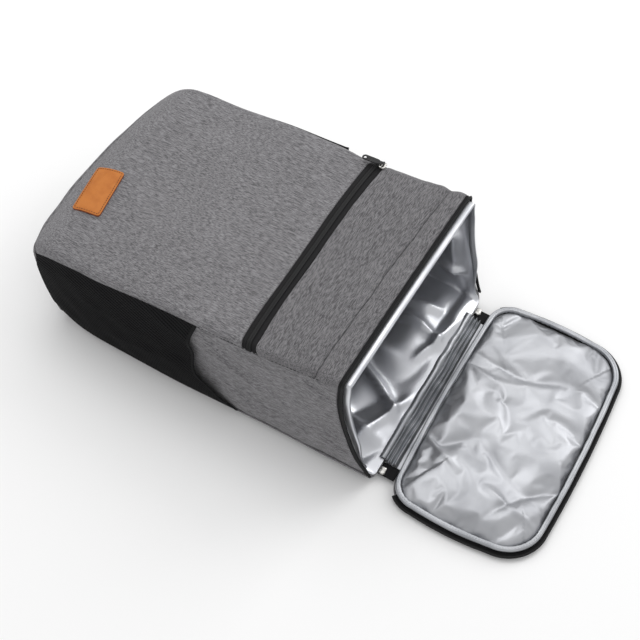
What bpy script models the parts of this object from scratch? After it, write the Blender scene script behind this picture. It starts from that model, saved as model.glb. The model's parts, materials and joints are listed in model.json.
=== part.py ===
"""Cooler backpack lying on its back, with the mouth unzipped and the lid folded out on the floor.

Bag coordinates, before the whole is centred at the end: x runs from the bottom of the bag towards the
mouth and the lid, y across with the near side negative, and z up from the floor. Every body panel is a
piece of one tube, whose cross-sections come from the SECTIONS table. A panel is sampled from that tube
between two depths under its outer surface, so that neighbours always share one seam line.
"""

import math
from collections import namedtuple

import bmesh
import bpy
from mathutils import Matrix, Vector

for leftover in list(bpy.data.objects):
    bpy.data.objects.remove(leftover)

# Driving dimensions, in metres and radians

# Seams and gaps between touching pieces
CLEARANCE = 0.0003

# The bag: its length along the front and the back, half its width, and its height over the back
FRONT_LENGTH = 0.388
FRONT_LEAN = 0.022
BACK_LENGTH = 0.414
HALF_WIDTH = 0.145
MOUTH_HEIGHT = 0.172
EDGE_RADIUS = 0.008
FOOT_RADIUS = 0.010
FOOT_FLARE = 0.003
FAR_RISE = 0.0045
CROWN = 0.003
MOUTH_SKEW = 0.004
BOTTOM_BOW = 0.0125
BOTTOM_SKEW = 0.0055
BOTTOM_BULGE = 0.007
SIDE_BULGE = 0.003
FOLD_DEPTH = 0.006

# Padded walls and the foil inside them
WALL = 0.0045
SIDE_RECESS = 0.0014
LINING = 0.0015
LINING_LIP = 0.0125

# The front pocket's zip
ZIP_FROM_BOTTOM = 0.283
ZIP_TAPE_WIDTH = 0.0145
ZIP_TAPE_THICKNESS = 0.0016
ZIP_TAPE_RECESS = 0.0012
COIL_WIDTH = 0.0050
COIL_HEIGHT = 0.0012
SLIDER_LENGTH = 0.0095
SLIDER_WIDTH = 0.0078
SLIDER_HEIGHT = 0.0026
SLIDER_FROM_EDGE = 0.0065
BRIDGE_RADIUS = 0.0007
PULL_LENGTH = 0.0270
PULL_WIDTH = 0.0075
PULL_THICKNESS = 0.0016
PULL_NECK_WIDTH = 0.0046
PULL_HOLE_RADIUS = 0.0018
PULL_BARREL_RADIUS = 0.0017
PULL_DROOP = math.radians(7)

# The mouth: the seam of its band and its zip tape, both from the front's end
BAND_WIDTH = 0.024
MOUTH_TAPE_WIDTH = 0.0090
MOUTH_TAPE_RECESS = 0.0006

# The leather patch: its middle from the bottom edge and from the middle of the front
PATCH_LENGTH = 0.066
PATCH_WIDTH = 0.034
PATCH_THICKNESS = 0.0018
PATCH_FROM_BOTTOM = 0.0195
PATCH_OFF_MIDDLE = -0.048
PATCH_TURN = math.radians(8.6)
PATCH_CORNER = 0.004

# The mesh pockets
MESH_THICKNESS = 0.0010
POCKET_GAPE = 0.0085
HEM_WIDTH = 0.0045
HEM_THICKNESS = 0.0016

# The lid, its seam lines inward from its zip tape's outer edge
LID_DEPTH = 0.1805
LID_HALF_WIDTH = 0.1555
LID_TURN = math.radians(2.2)
LID_OFF_MIDDLE = -0.0005
LID_OUTER_RADIUS = 0.051
LID_HINGE_RADIUS = 0.036
LID_SIDE_BOW = 0.003
LID_SHELL_THICKNESS = 0.0042
LID_SHELL_INSET = 0.004
LID_SHELL_ROUND = 0.0012
LID_TAPE_WIDTH = 0.0120
LID_TAPE_THICKNESS = 0.0015
LID_TAPE_END = 0.014
LID_RIM_INSET = 0.009
LID_RIM_RADIUS = 0.0034
LID_LINING_TUCK = 0.0013
LID_PUFF = 0.0105
LID_PUFF_REACH = 0.040

# The pleated strip between the back's end and the lid, and the tab at each of its ends
HINGE_GAP = 0.0155
HINGE_FROM_LID_SIDE = 0.0435
HINGE_HALF_WIDTH = LID_HALF_WIDTH - HINGE_FROM_LID_SIDE
HINGE_PLEATS = 3
PLEAT_HEIGHT = 0.0052
PLEAT_THICKNESS = 0.0016
TAB_WIDTH = 0.016
TAB_THICKNESS = 0.0020

# The shoulder straps flat under the back, and the webbing that leads to each
STRAP_THICKNESS = 0.0052
STRAP_WIDTH = 0.060
STRAP_LENGTH = 0.260
STRAP_FROM_MOUTH = 0.037
STRAP_TOP_SPREAD = 0.046
STRAP_END_SPREAD = 0.088
STRAP_BOW = 0.014
WEBBING_WIDTH = 0.025
WEBBING_THICKNESS = 0.0016
WEBBING_SPREAD = 0.018
WEBBING_FROM_BOTTOM = 0.012
LOCK_LENGTH = 0.030
LOCK_RIM = 0.004
LOCK_THICKNESS = 0.0042

# Places that follow from the sizes above. The back's bottom corner is x of 0.018 in the bag's coordinates.
BACK_START = 0.018
FRONT_START = BACK_START - FRONT_LEAN
BACK_END = BACK_START + BACK_LENGTH
LID_HINGE = BACK_END + HINGE_GAP
ZIP_AT = FRONT_START + ZIP_FROM_BOTTOM
BACK_LEVEL = STRAP_THICKNESS + CLEARANCE
LINING_DEPTH = WALL + 3 * CLEARANCE
GAP_SHARE = CLEARANCE / FRONT_LENGTH
LID_TAPE_LEVEL = LID_SHELL_THICKNESS + CLEARANCE
LID_RIM_LEVEL = LID_TAPE_LEVEL + LID_TAPE_THICKNESS * 1.6 + CLEARANCE + LID_RIM_RADIUS
LINING_INSET = LID_RIM_INSET + LID_RIM_RADIUS - LID_LINING_TUCK

# Sections along the bag: at is the share of the front's length, height the share of the mouth's height
# over the floor, width the share of the half width, foot the share of the lower corners' radius, and
# flare the share of the outward flare at the foot.
Section = namedtuple("Section", "at height width foot flare")
SECTIONS = (
    Section(at=0.00, height=0.690, width=0.965, foot=0.80, flare=0.00),
    Section(at=0.03, height=0.738, width=0.982, foot=0.70, flare=0.30),
    Section(at=0.07, height=0.778, width=0.995, foot=0.60, flare=0.80),
    Section(at=0.13, height=0.799, width=1.004, foot=0.50, flare=1.00),
    Section(at=0.25, height=0.823, width=1.007, foot=0.50, flare=1.00),
    Section(at=0.40, height=0.872, width=1.007, foot=0.50, flare=0.90),
    Section(at=0.55, height=0.893, width=1.002, foot=0.60, flare=0.40),
    Section(at=0.70, height=0.915, width=0.998, foot=0.80, flare=0.00),
    Section(at=0.85, height=0.966, width=0.997, foot=1.00, flare=0.10),
    Section(at=1.00, height=1.030, width=0.997, foot=1.30, flare=0.00),
)

# Soft dents and ridges of the side panels. along and up are shares of the bag's length and height, long
# and tall are the half sizes of the fold as the same shares, depth is the inward share of the fold depth,
# and lean its slope.
Fold = namedtuple("Fold", "along up long tall depth lean")
NEAR_FOLDS = (
    Fold(along=0.52, up=0.45, long=0.13, tall=0.30, depth=1.00, lean=0.0),
    Fold(along=0.66, up=0.62, long=0.22, tall=0.07, depth=-0.50, lean=-1.1),
    Fold(along=0.80, up=0.30, long=0.12, tall=0.12, depth=0.42, lean=-0.8),
    Fold(along=0.93, up=0.42, long=0.05, tall=0.10, depth=0.33, lean=0.0),
)
FAR_FOLDS = (
    Fold(along=0.52, up=0.45, long=0.13, tall=0.30, depth=0.92, lean=0.0),
    Fold(along=0.75, up=0.35, long=0.16, tall=0.12, depth=0.42, lean=0.6),
    Fold(along=0.75, up=0.78, long=0.30, tall=0.22, depth=-0.60, lean=0.0),
)

# The mesh pockets' mouth: up is the share of the side's height, reach the share of the front's length
# where the hem stands, and gape the share of the pocket's gape that it stands off the side panel.
Hem = namedtuple("Hem", "up reach gape")
NEAR_HEM = (
    Hem(up=0.00, reach=0.586, gape=0.06),
    Hem(up=0.12, reach=0.560, gape=0.53),
    Hem(up=0.24, reach=0.535, gape=0.88),
    Hem(up=0.32, reach=0.507, gape=1.00),
    Hem(up=0.42, reach=0.505, gape=0.94),
    Hem(up=0.60, reach=0.520, gape=0.65),
    Hem(up=0.80, reach=0.523, gape=0.35),
    Hem(up=1.00, reach=0.545, gape=0.05),
)
FAR_HEM = (
    Hem(up=0.00, reach=0.590, gape=0.06),
    Hem(up=0.20, reach=0.570, gape=0.76),
    Hem(up=0.50, reach=0.560, gape=1.00),
    Hem(up=0.80, reach=0.580, gape=0.82),
    Hem(up=1.00, reach=0.588, gape=0.26),
)

# The pocket zip's tape runs straight across and opens towards the mouth at its two ends: across is from
# -1 near to 1 far, and its lower and upper edges move by shares of the tape's width.
ZipEdge = namedtuple("ZipEdge", "across lower upper")
ZIP_EDGES = (
    ZipEdge(across=-1.00, lower=0.00, upper=0.41),
    ZipEdge(across=-0.86, lower=0.00, upper=0.07),
    ZipEdge(across=-0.50, lower=0.00, upper=0.00),
    ZipEdge(across=0.60, lower=0.00, upper=0.00),
    ZipEdge(across=0.90, lower=0.07, upper=0.21),
    ZipEdge(across=1.00, lower=0.28, upper=0.62),
)

# Broad dents and puffs of the lid's quilted lining: places and half sizes as shares of its depth and half
# width, rise as a share of its puff.
Puff = namedtuple("Puff", "deep across long wide rise")
LID_PUFFS = (
    Puff(deep=0.30, across=-0.55, long=0.16, wide=0.22, rise=-0.33),
    Puff(deep=0.55, across=0.10, long=0.22, wide=0.25, rise=0.14),
    Puff(deep=0.35, across=0.62, long=0.12, wide=0.20, rise=-0.29),
    Puff(deep=0.72, across=-0.45, long=0.10, wide=0.30, rise=-0.24),
    Puff(deep=0.75, across=0.45, long=0.12, wide=0.20, rise=-0.19),
)

Finish = namedtuple("Finish", "colour roughness metallic")
FINISHES = {
    "melange": Finish((0.195, 0.188, 0.197), 0.90, 0.0),
    "mesh": Finish((0.013, 0.013, 0.014), 0.80, 0.0),
    "zip": Finish((0.022, 0.021, 0.022), 0.65, 0.0),
    "foil": Finish((0.56, 0.57, 0.60), 0.35, 0.6),
    "leather": Finish((0.52, 0.20, 0.055), 0.50, 0.0),
    "metal": Finish((0.55, 0.54, 0.52), 0.30, 1.0),
    "enamel": Finish((0.015, 0.015, 0.016), 0.35, 0.0),
    "strap": Finish((0.020, 0.020, 0.022), 0.85, 0.0),
}

collection = bpy.data.collections.new("cooler_backpack")
bpy.context.scene.collection.children.link(collection)
cutters = bpy.data.collections.new("cutters")
bpy.context.scene.collection.children.link(cutters)


# Small tools


def finish_material(name):
    """The piece's own Principled material, in one of the bag's finishes."""
    finish = FINISHES[name]
    material = bpy.data.materials.new(name)
    material.use_nodes = True
    shader = material.node_tree.nodes["Principled BSDF"]
    shader.inputs["Base Color"].default_value = (*finish.colour, 1.0)
    shader.inputs["Roughness"].default_value = finish.roughness
    shader.inputs["Metallic"].default_value = finish.metallic
    return material


def object_from(name, mesh_data, finish, group=None):
    """Puts a bmesh into a named, smooth shaded object of the bag's collection."""
    bmesh.ops.recalc_face_normals(mesh_data, faces=mesh_data.faces)
    mesh = bpy.data.meshes.new(name)
    mesh_data.to_mesh(mesh)
    mesh_data.free()
    mesh.shade_smooth()
    mesh.set_sharp_from_angle(angle=math.radians(40))
    piece = bpy.data.objects.new(name, mesh)
    mesh.materials.append(finish_material(finish))
    (group or collection).objects.link(piece)
    return piece


def curve_value(rows, key, column, at):
    """A smooth curve through one column of a table, read at a value of its key column."""
    if at <= getattr(rows[0], key):
        low, high = rows[0], rows[1]
        slope = (getattr(high, column) - getattr(low, column)) / (getattr(high, key) - getattr(low, key))
        return getattr(low, column) + slope * (at - getattr(low, key)) * 0.5
    if at >= getattr(rows[-1], key):
        return getattr(rows[-1], column)
    index = max(i for i in range(len(rows) - 1) if getattr(rows[i], key) <= at)
    near = rows[max(index - 1, 0)], rows[index], rows[index + 1], rows[min(index + 2, len(rows) - 1)]
    keys = [getattr(row, key) for row in near]
    values = [getattr(row, column) for row in near]
    span = keys[2] - keys[1]
    share = (at - keys[1]) / span
    start = (values[2] - values[0]) / (keys[2] - keys[0]) * span
    end = (values[3] - values[1]) / (keys[3] - keys[1]) * span
    return (
        values[1] * (2 * share**3 - 3 * share**2 + 1)
        + start * (share**3 - 2 * share**2 + share)
        + values[2] * (3 * share**2 - 2 * share**3)
        + end * (share**3 - share**2)
    )


def smooth_step(low, high, value):
    share = min(max((value - low) / (high - low), 0.0), 1.0)
    return share * share * (3 - 2 * share)


def steps(low, high, count):
    """Count + 1 even stops from low to high."""
    return [low + (high - low) * i / count for i in range(count + 1)]


def grid_shell(name, outer, inner, rows, columns, finish, group=None):
    """A closed wall between two surfaces, each a function of a row value and a column value."""
    shell = bmesh.new()
    skins = []
    for surface in (outer, inner):
        skins.append([[shell.verts.new(surface(r, c)) for c in columns] for r in rows])
    last_row, last_column = len(rows) - 1, len(columns) - 1
    for skin in skins:
        for i in range(last_row):
            for j in range(last_column):
                shell.faces.new((skin[i][j], skin[i + 1][j], skin[i + 1][j + 1], skin[i][j + 1]))
    edge = [(0, j) for j in range(last_column)] + [(i, last_column) for i in range(last_row)]
    edge += [(last_row, j) for j in range(last_column, 0, -1)] + [(i, 0) for i in range(last_row, 0, -1)]
    for here, there in zip(edge, edge[1:] + edge[:1]):
        corners = [skins[side][i][j] for side, (i, j) in ((0, here), (0, there), (1, there), (1, here))]
        shell.faces.new(corners)
    return object_from(name, shell, finish, group)


def loft(name, rings, finish, closed=False, group=None):
    """A skin over rings of as many points each, capped at both ends or closed round."""
    body = bmesh.new()
    rows = [[body.verts.new(point) for point in ring] for ring in rings]
    count = len(rows[0])
    pairs = list(zip(rows, rows[1:])) + ([(rows[-1], rows[0])] if closed else [])
    for first, second in pairs:
        for i in range(count):
            j = (i + 1) % count
            body.faces.new((first[i], first[j], second[j], second[i]))
    if not closed:
        body.faces.new(rows[0])
        body.faces.new(rows[-1])
    return object_from(name, body, finish, group)


def strip_along(name, path, section, finish, closed=False):
    """A band with a flat cross-section of (sideways, up) points, swept level along a path."""
    rings = []
    for index, point in enumerate(path):
        if closed:
            before, after = path[index - 1], path[(index + 1) % len(path)]
        else:
            before, after = path[max(index - 1, 0)], path[min(index + 1, len(path) - 1)]
        forward = (Vector(after) - Vector(before)).normalized()
        side = forward.cross(Vector((0, 0, 1))).normalized()
        rings.append([Vector(point) + side * across + Vector((0, 0, up)) for across, up in section])
    return loft(name, rings, finish, closed=closed)


def block(name, size, centre, finish, bevel, turn=0.0, group=None):
    """A box with rounded edges."""
    box = bmesh.new()
    bmesh.ops.create_cube(box, size=1.0, matrix=Matrix.Diagonal((*size, 1.0)))
    if bevel:
        bmesh.ops.bevel(box, geom=box.edges, offset=bevel, segments=2, profile=0.5, affect="EDGES")
    piece = object_from(name, box, finish, group)
    piece.matrix_world = Matrix.Translation(centre) @ Matrix.Rotation(turn, 4, "Z")
    return piece


def combine(piece, helper, operation):
    """Joins the helper's shape to the piece with UNION, or takes it out with DIFFERENCE."""
    helper.hide_render = True
    helper.display_type = "WIRE"
    modifier = piece.modifiers.new(operation.lower(), "BOOLEAN")
    modifier.object = helper
    modifier.operation = operation


# The bag's tube

ARC_SHARE = 0.12


def front_line(along):
    """Where a section meets the front panel, in x."""
    return FRONT_START + along * FRONT_LENGTH


def along_of(x):
    return (x - FRONT_START) / FRONT_LENGTH


def back_line(along):
    return BACK_START + along * BACK_LENGTH


def top_level(along, across):
    """Height of the front panel over the floor, across from -1 near to 1 far."""
    middle = MOUTH_HEIGHT * curve_value(SECTIONS, "at", "height", along)
    return middle + FAR_RISE * across + CROWN * (1 - across * across)


def half_width(along):
    return HALF_WIDTH * curve_value(SECTIONS, "at", "width", along)


def foot_radius(along):
    return FOOT_RADIUS * curve_value(SECTIONS, "at", "foot", along)


def foot_flare(along):
    return FOOT_FLARE * curve_value(SECTIONS, "at", "flare", along)


def lengthwise(along, up, across):
    """x of a point of the tube: sections lean back towards the mouth, and the bottom bows out."""
    lean = (1 - up) ** 2
    foot = back_line(along) - MOUTH_SKEW * across * along
    x = front_line(along) + (foot - front_line(along)) * lean
    bow = BOTTOM_BOW * (1 - across * across) - BOTTOM_SKEW * across
    fade = max(1 - along, 0) ** 8
    return x - bow * fade * up * (2 - up)


def fold_depth(folds, along, up):
    total = 0.0
    for fold in folds:
        dx = along - fold.along
        du = up - fold.up - fold.lean * dx
        total += FOLD_DEPTH * fold.depth * math.exp(-((dx / fold.long) ** 2) - (du / fold.tall) ** 2)
    return total


def side_offset(side, along, up):
    """How far the side stands out from the straight edge, up from 0 at the foot to 1 at the seam."""
    folds = NEAR_FOLDS if side < 0 else FAR_FOLDS
    window = smooth_step(0, 0.2, up) * smooth_step(0, 0.2, 1 - up)
    return window * (SIDE_BULGE - fold_depth(folds, along, up))


def section_point(wall, along, q):
    """A point of the outer tube. q runs from 0 to 1: across on front and back, upwards on a side."""
    width, foot = half_width(along), foot_radius(along)
    if wall in ("near", "far"):
        side = -1 if wall == "near" else 1
        low = BACK_LEVEL + foot
        high = top_level(along, side) - EDGE_RADIUS
        z = low + (high - low) * q
        y = side * (width + foot_flare(along) * (1 - q) ** 2 + side_offset(side, along, q))
        across = side
    else:
        radius = EDGE_RADIUS
        if wall == "back":
            radius = foot
            width += foot_flare(along)
        side = -1 if q < 0.5 else 1
        into = min(q, 1 - q) / ARC_SHARE
        if into < 1:
            angle = into * math.pi / 2
            y = side * (width - radius + radius * math.cos(angle))
            drop = radius * (1 - math.sin(angle))
        else:
            y = (width - radius) * (q - 0.5) / (0.5 - ARC_SHARE)
            drop = 0.0
        across = y / half_width(along)
        z = top_level(along, across) - drop if wall == "front" else BACK_LEVEL + drop
    up = (z - BACK_LEVEL) / (top_level(along, across) - BACK_LEVEL)
    return Vector((lengthwise(along, up, across), y, z))


TINY = 1e-4


def tube_point(wall, along, q, depth=0.0):
    """A point at a depth under the tube's outer surface."""
    q = min(max(q, 0.0), 1.0)
    here = section_point(wall, along, q)
    if not depth:
        return here
    ahead = section_point(wall, along + TINY, q) - section_point(wall, along - TINY, q)
    round_low = section_point(wall, along, max(q - TINY, 0.0))
    sideways = section_point(wall, along, min(q + TINY, 1.0)) - round_low
    normal = ahead.cross(sideways).normalized()
    middle = Vector((here.x, 0.0, BACK_LEVEL + MOUTH_HEIGHT * 0.35))
    if normal.dot(here - middle) < 0:
        normal = -normal
    return here - normal * depth


def tube_panel(name, wall, starts, ends, rows, columns, depths, finish):
    """A panel of the tube between two lengthwise lines, each a function of q."""

    def surface(depth):
        def place(row, q):
            low, high = starts(q), ends(q)
            return tube_point(wall, low + (high - low) * row, q, depth)

        return place

    return grid_shell(name, surface(depths[0]), surface(depths[1]), rows, columns, finish)


def level(value):
    """A straight seam across the tube."""
    return lambda q: value


def across_columns(count, per_arc=2):
    """Stops over the front or the back: some along each rounded edge and even ones between."""
    edge = steps(0.0, ARC_SHARE, per_arc)[:-1]
    middle = steps(ARC_SHARE, 1 - ARC_SHARE, count)
    return edge + middle + [1 - value for value in reversed(edge)]


FRONT_COLUMNS = across_columns(10)
BACK_COLUMNS = across_columns(6, per_arc=3)
SIDE_COLUMNS = steps(0, 1, 8)


def zip_edge(column, q):
    return ZIP_TAPE_WIDTH * curve_value(ZIP_EDGES, "across", column, 2 * q - 1)


def zip_low(q):
    return along_of(ZIP_AT - ZIP_TAPE_WIDTH / 2 + zip_edge("lower", q))


def zip_high(q):
    return along_of(ZIP_AT + ZIP_TAPE_WIDTH / 2 + zip_edge("upper", q))


POCKET_ROWS = [0.0, 0.025, 0.06, 0.10, 0.17, 0.28, 0.42, 0.56, 0.70, 0.85, 1.0]
STATIONS = [0.0, 0.02, 0.045, 0.08, 0.13, 0.22, 0.34, 0.46, 0.58, 0.70, 0.82, 0.92, 1.0]


def build_front():
    """The pocket panel, its zip, the upper panel and the band beside the mouth zip."""
    columns = FRONT_COLUMNS
    crease = 1.0 - BAND_WIDTH / FRONT_LENGTH
    tube_panel("front_pocket_panel", "front", level(0.0), lambda q: zip_low(q) - GAP_SHARE,
               POCKET_ROWS, columns, (0.0, WALL), "melange")
    tape_depths = (ZIP_TAPE_RECESS, ZIP_TAPE_RECESS + ZIP_TAPE_THICKNESS)
    tube_panel("front_zip_tape", "front", zip_low, zip_high, steps(0, 1, 2), columns,
               tape_depths, "zip")
    coil_half = COIL_WIDTH / FRONT_LENGTH / 2
    inset = 2 * CLEARANCE / HALF_WIDTH

    def coil_middle(q):
        return (zip_low(q) + zip_high(q)) / 2

    coil_columns = [min(max(q, inset), 1 - inset) for q in columns]
    coil_low = ZIP_TAPE_RECESS - CLEARANCE
    tube_panel("front_zip_coil", "front", lambda q: coil_middle(q) - coil_half,
               lambda q: coil_middle(q) + coil_half, steps(0, 1, 2), coil_columns,
               (coil_low - COIL_HEIGHT, coil_low), "zip")
    tube_panel("upper_front_panel", "front", lambda q: zip_high(q) + 3 * GAP_SHARE,
               level(crease - 3 * GAP_SHARE), steps(0, 1, 4), columns, (0.0, WALL), "melange")
    tube_panel("mouth_band", "front", level(crease), level(1.0), steps(0, 1, 2), columns,
               (0.0, WALL), "melange")


def build_sides():
    """The two side panels and the back panel."""
    seam = CLEARANCE / MOUTH_HEIGHT
    trimmed = [min(max(q, 2 * seam), 1 - 2 * seam) for q in SIDE_COLUMNS]
    for wall in ("near", "far"):
        tube_panel(f"side_panel_{wall}", wall, level(0.0), level(1.0), STATIONS, trimmed,
                   (SIDE_RECESS, WALL), "melange")
    tube_panel("back_panel", "back", level(0.0), level(1.0), STATIONS, BACK_COLUMNS,
               (0.0, WALL), "melange")


def bottom_outline(z):
    """Half width of the bag's bottom seam at a height."""
    width, foot = half_width(0.0), foot_radius(0.0)
    top = MOUTH_HEIGHT * SECTIONS[0].height
    above = z - (top - EDGE_RADIUS)
    below = BACK_LEVEL + foot - z
    if above > 0:
        return width - EDGE_RADIUS + math.sqrt(max(EDGE_RADIUS**2 - above**2, 0.0))
    if below > 0:
        return width - foot + math.sqrt(max(foot**2 - below**2, 0.0))
    return width


def build_bottom():
    """The bottom panel, bowed out over the end of the tube."""
    top = MOUTH_HEIGHT * SECTIONS[0].height
    foot = foot_radius(0.0)
    heights = [BACK_LEVEL + foot * share for share in (0.0, 0.3, 1.0)]
    heights += steps(BACK_LEVEL + foot, top - EDGE_RADIUS, 5)[1:]
    heights += [top - EDGE_RADIUS * share for share in (0.5, 0.13, 0.0)]

    def surface(outward):
        def place(z, across):
            up = (z - BACK_LEVEL) / (top - BACK_LEVEL)
            y = across * bottom_outline(z)
            spread = y / half_width(0.0)
            swell = BOTTOM_BULGE * (1 - across * across) * math.sin(math.pi * up)
            x = lengthwise(0.0, up, spread) - swell - outward
            rise = (FAR_RISE * spread + CROWN * (1 - spread * spread)) * up
            return Vector((x, y, z + rise))

        return place

    grid_shell("bottom_panel", surface(CLEARANCE + WALL), surface(CLEARANCE), heights,
               steps(-1, 1, 10), "melange")


def build_mouth():
    """The black zip tape round the front and sides of the mouth, with its coil."""
    tape_low, tape_high = 1.0 + GAP_SHARE, 1.0 + MOUTH_TAPE_WIDTH / FRONT_LENGTH
    pieces = (("near", SIDE_COLUMNS), ("front", FRONT_COLUMNS), ("far", list(reversed(SIDE_COLUMNS))))

    def ring(along, depth):
        points = []
        for wall, columns in pieces:
            found = [tube_point(wall, along, q, depth) for q in columns]
            points += found if not points else found[1:]
        return points

    def band(name, lows, highs, depths, finish):
        skins = [[ring(along, depth) for along in (lows, highs)] for depth in depths]
        count = len(skins[0][0])
        rings = []
        for index in range(count):
            rings.append([skins[0][0][index], skins[0][1][index], skins[1][1][index], skins[1][0][index]])
        return loft(name, rings, finish)

    tape_depths = (MOUTH_TAPE_RECESS, MOUTH_TAPE_RECESS + ZIP_TAPE_THICKNESS)
    band("mouth_zip_tape", tape_low, tape_high, tape_depths, "zip")
    coil_share = COIL_WIDTH / 2 / FRONT_LENGTH
    coil_top = MOUTH_TAPE_RECESS - CLEARANCE
    band("mouth_zip_coil", tape_high - coil_share, tape_high, (coil_top - COIL_HEIGHT, coil_top), "zip")


def build_lining():
    """The hollow silver compartment: an open tub inside the panels."""
    columns = {
        "near": SIDE_COLUMNS[1:],
        "front": FRONT_COLUMNS[1:],
        "far": list(reversed(SIDE_COLUMNS))[1:],
        "back": list(reversed(BACK_COLUMNS))[1:],
    }
    stations = STATIONS[1:] + [1.0 + LINING_LIP / FRONT_LENGTH]

    def ring(along, depth):
        """The lip beyond the last station fades out down the sides, and the back has none."""
        points = []
        for wall, stops in columns.items():
            for q in stops:
                share = {"front": 1.0, "back": 0.0}.get(wall, smooth_step(0.0, 0.4, q))
                points.append(tube_point(wall, min(along, 1.0 + (along - 1.0) * share), q, depth))
        return points

    rings = [ring(along, LINING_DEPTH) for along in stations]
    rings += [ring(along, LINING_DEPTH + LINING) for along in reversed(stations)]
    rings[-1] = [point + Vector((LINING, 0, 0)) for point in rings[-1]]
    loft("lining_tub", rings, "foil")


# The mesh pockets


def pocket_point(wall, hem, station, beyond, q, depth):
    """A point of a mesh pocket, at a station of the bag or, past the last one, beyond the hem's line."""
    reach = curve_value(hem, "up", "reach", q)
    gape = POCKET_GAPE * curve_value(hem, "up", "gape", q)
    along = reach + beyond if station is None else station
    stand_off = gape * (along / reach) ** 1.6
    return tube_point(wall, along, q, SIDE_RECESS - CLEARANCE - stand_off - depth)


def build_pockets():
    """A mesh pocket on each side, with its elastic hem."""
    seam = 2 * CLEARANCE / MOUTH_HEIGHT
    columns = [min(max(q, seam), 1 - seam) for q in SIDE_COLUMNS]
    stations = [station for station in STATIONS if station < 0.48] + [None]
    for wall, hem in (("near", NEAR_HEM), ("far", FAR_HEM)):
        grid_shell(f"mesh_pocket_{wall}",
                   lambda row, q: pocket_point(wall, hem, row, 0.0, q, MESH_THICKNESS),
                   lambda row, q: pocket_point(wall, hem, row, 0.0, q, 0.0),
                   stations, columns, "mesh")
        hem_start = 2 * GAP_SHARE
        hem_end = hem_start + HEM_WIDTH / FRONT_LENGTH
        grid_shell(f"pocket_hem_{wall}",
                   lambda beyond, q: pocket_point(wall, hem, None, beyond, q, HEM_THICKNESS),
                   lambda beyond, q: pocket_point(wall, hem, None, beyond, q, 0.0),
                   [hem_start, hem_end], columns, "mesh")


# The leather patch


def front_level(x, y):
    """Height of the front panel at a place seen from above, and its share along the bag."""
    along = along_of(x)
    across = y / HALF_WIDTH
    for _ in range(12):
        off = section_x(along, across) - x
        along -= off / FRONT_LENGTH
    return top_level(along, y / half_width(along))


def section_x(along, across):
    return lengthwise(along, 1.0, across)


def build_patch():
    """The leather patch, laid over the front panel where it rolls down to the bottom."""
    start_x = FRONT_START + PATCH_FROM_BOTTOM

    def surface(lift):
        def place(short, long):
            if abs(short) == PATCH_WIDTH / 2 and abs(long) == PATCH_LENGTH / 2:
                short -= math.copysign(PATCH_CORNER / 2, short)
                long -= math.copysign(PATCH_CORNER / 2, long)
            x = start_x + short * math.cos(PATCH_TURN) - long * math.sin(PATCH_TURN)
            y = PATCH_OFF_MIDDLE + short * math.sin(PATCH_TURN) + long * math.cos(PATCH_TURN)
            slope_x = (front_level(x + TINY, y) - front_level(x - TINY, y)) / (2 * TINY)
            slope_y = (front_level(x, y + TINY) - front_level(x, y - TINY)) / (2 * TINY)
            normal = Vector((-slope_x, -slope_y, 1.0)).normalized()
            return Vector((x, y, front_level(x, y))) + normal * lift

        return place

    def stops(size, count):
        half = size / 2
        inner = steps(-half + PATCH_CORNER, half - PATCH_CORNER, count)
        return [-half] + inner + [half]

    grid_shell("leather_patch", surface(CLEARANCE + PATCH_THICKNESS), surface(CLEARANCE),
               stops(PATCH_WIDTH, 3), stops(PATCH_LENGTH, 6), "leather")


# The zips' sliders and the front one's pull


def back_edge_x(y):
    """x of the bag's back edge at a place across, with its clearance."""
    return BACK_END - MOUTH_SKEW * y / HALF_WIDTH + CLEARANCE


def build_slider(name, centre):
    """A zip slider: a waisted plate, its length along y."""
    outline = []
    for share, half in ((-0.5, 0.36), (-0.15, 0.50), (0.5, 0.42)):
        outline.append((share * SLIDER_LENGTH, half * SLIDER_WIDTH))
    section = outline + [(x, -y) for x, y in reversed(outline)]
    rings = []
    for level_share, inset in ((0.0, 0.85), (0.25, 1.0), (0.75, 1.0), (1.0, 0.8)):
        height = level_share * SLIDER_HEIGHT
        rings.append([Vector((y * inset, x * inset, height)) for x, y in section])
    piece = loft(name, rings, "metal")
    piece.matrix_world = Matrix.Translation(centre)
    return piece


def build_bridge(plate, rise):
    """The slider's round bridge, rising over the plate's middle, joined to the plate."""
    foot_y = PULL_NECK_WIDTH / 2 + CLEARANCE + 2 * BRIDGE_RADIUS
    low = SLIDER_HEIGHT - BRIDGE_RADIUS
    top = SLIDER_HEIGHT + rise
    middle = (low + top) / 2
    path = [(-foot_y, low), (-foot_y, middle), (-foot_y + BRIDGE_RADIUS, top),
            (foot_y - BRIDGE_RADIUS, top), (foot_y, middle), (foot_y, low)]
    sides = 6
    rings = []
    for index, (across, up) in enumerate(path):
        before, after = path[max(index - 1, 0)], path[min(index + 1, len(path) - 1)]
        forward = Vector((0, after[0] - before[0], after[1] - before[1])).normalized()
        lift = Vector((1, 0, 0)).cross(forward) * BRIDGE_RADIUS
        centre = Vector((0, across, up))
        turns = [math.tau * k / sides for k in range(sides)]
        rings.append([centre + Vector((BRIDGE_RADIUS * math.cos(turn), 0, 0)) + lift * math.sin(turn)
                      for turn in turns])
    bridge = loft("slider_bridge", rings, "metal", group=cutters)
    bridge.parent = plate
    combine(plate, bridge, "UNION")


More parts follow.
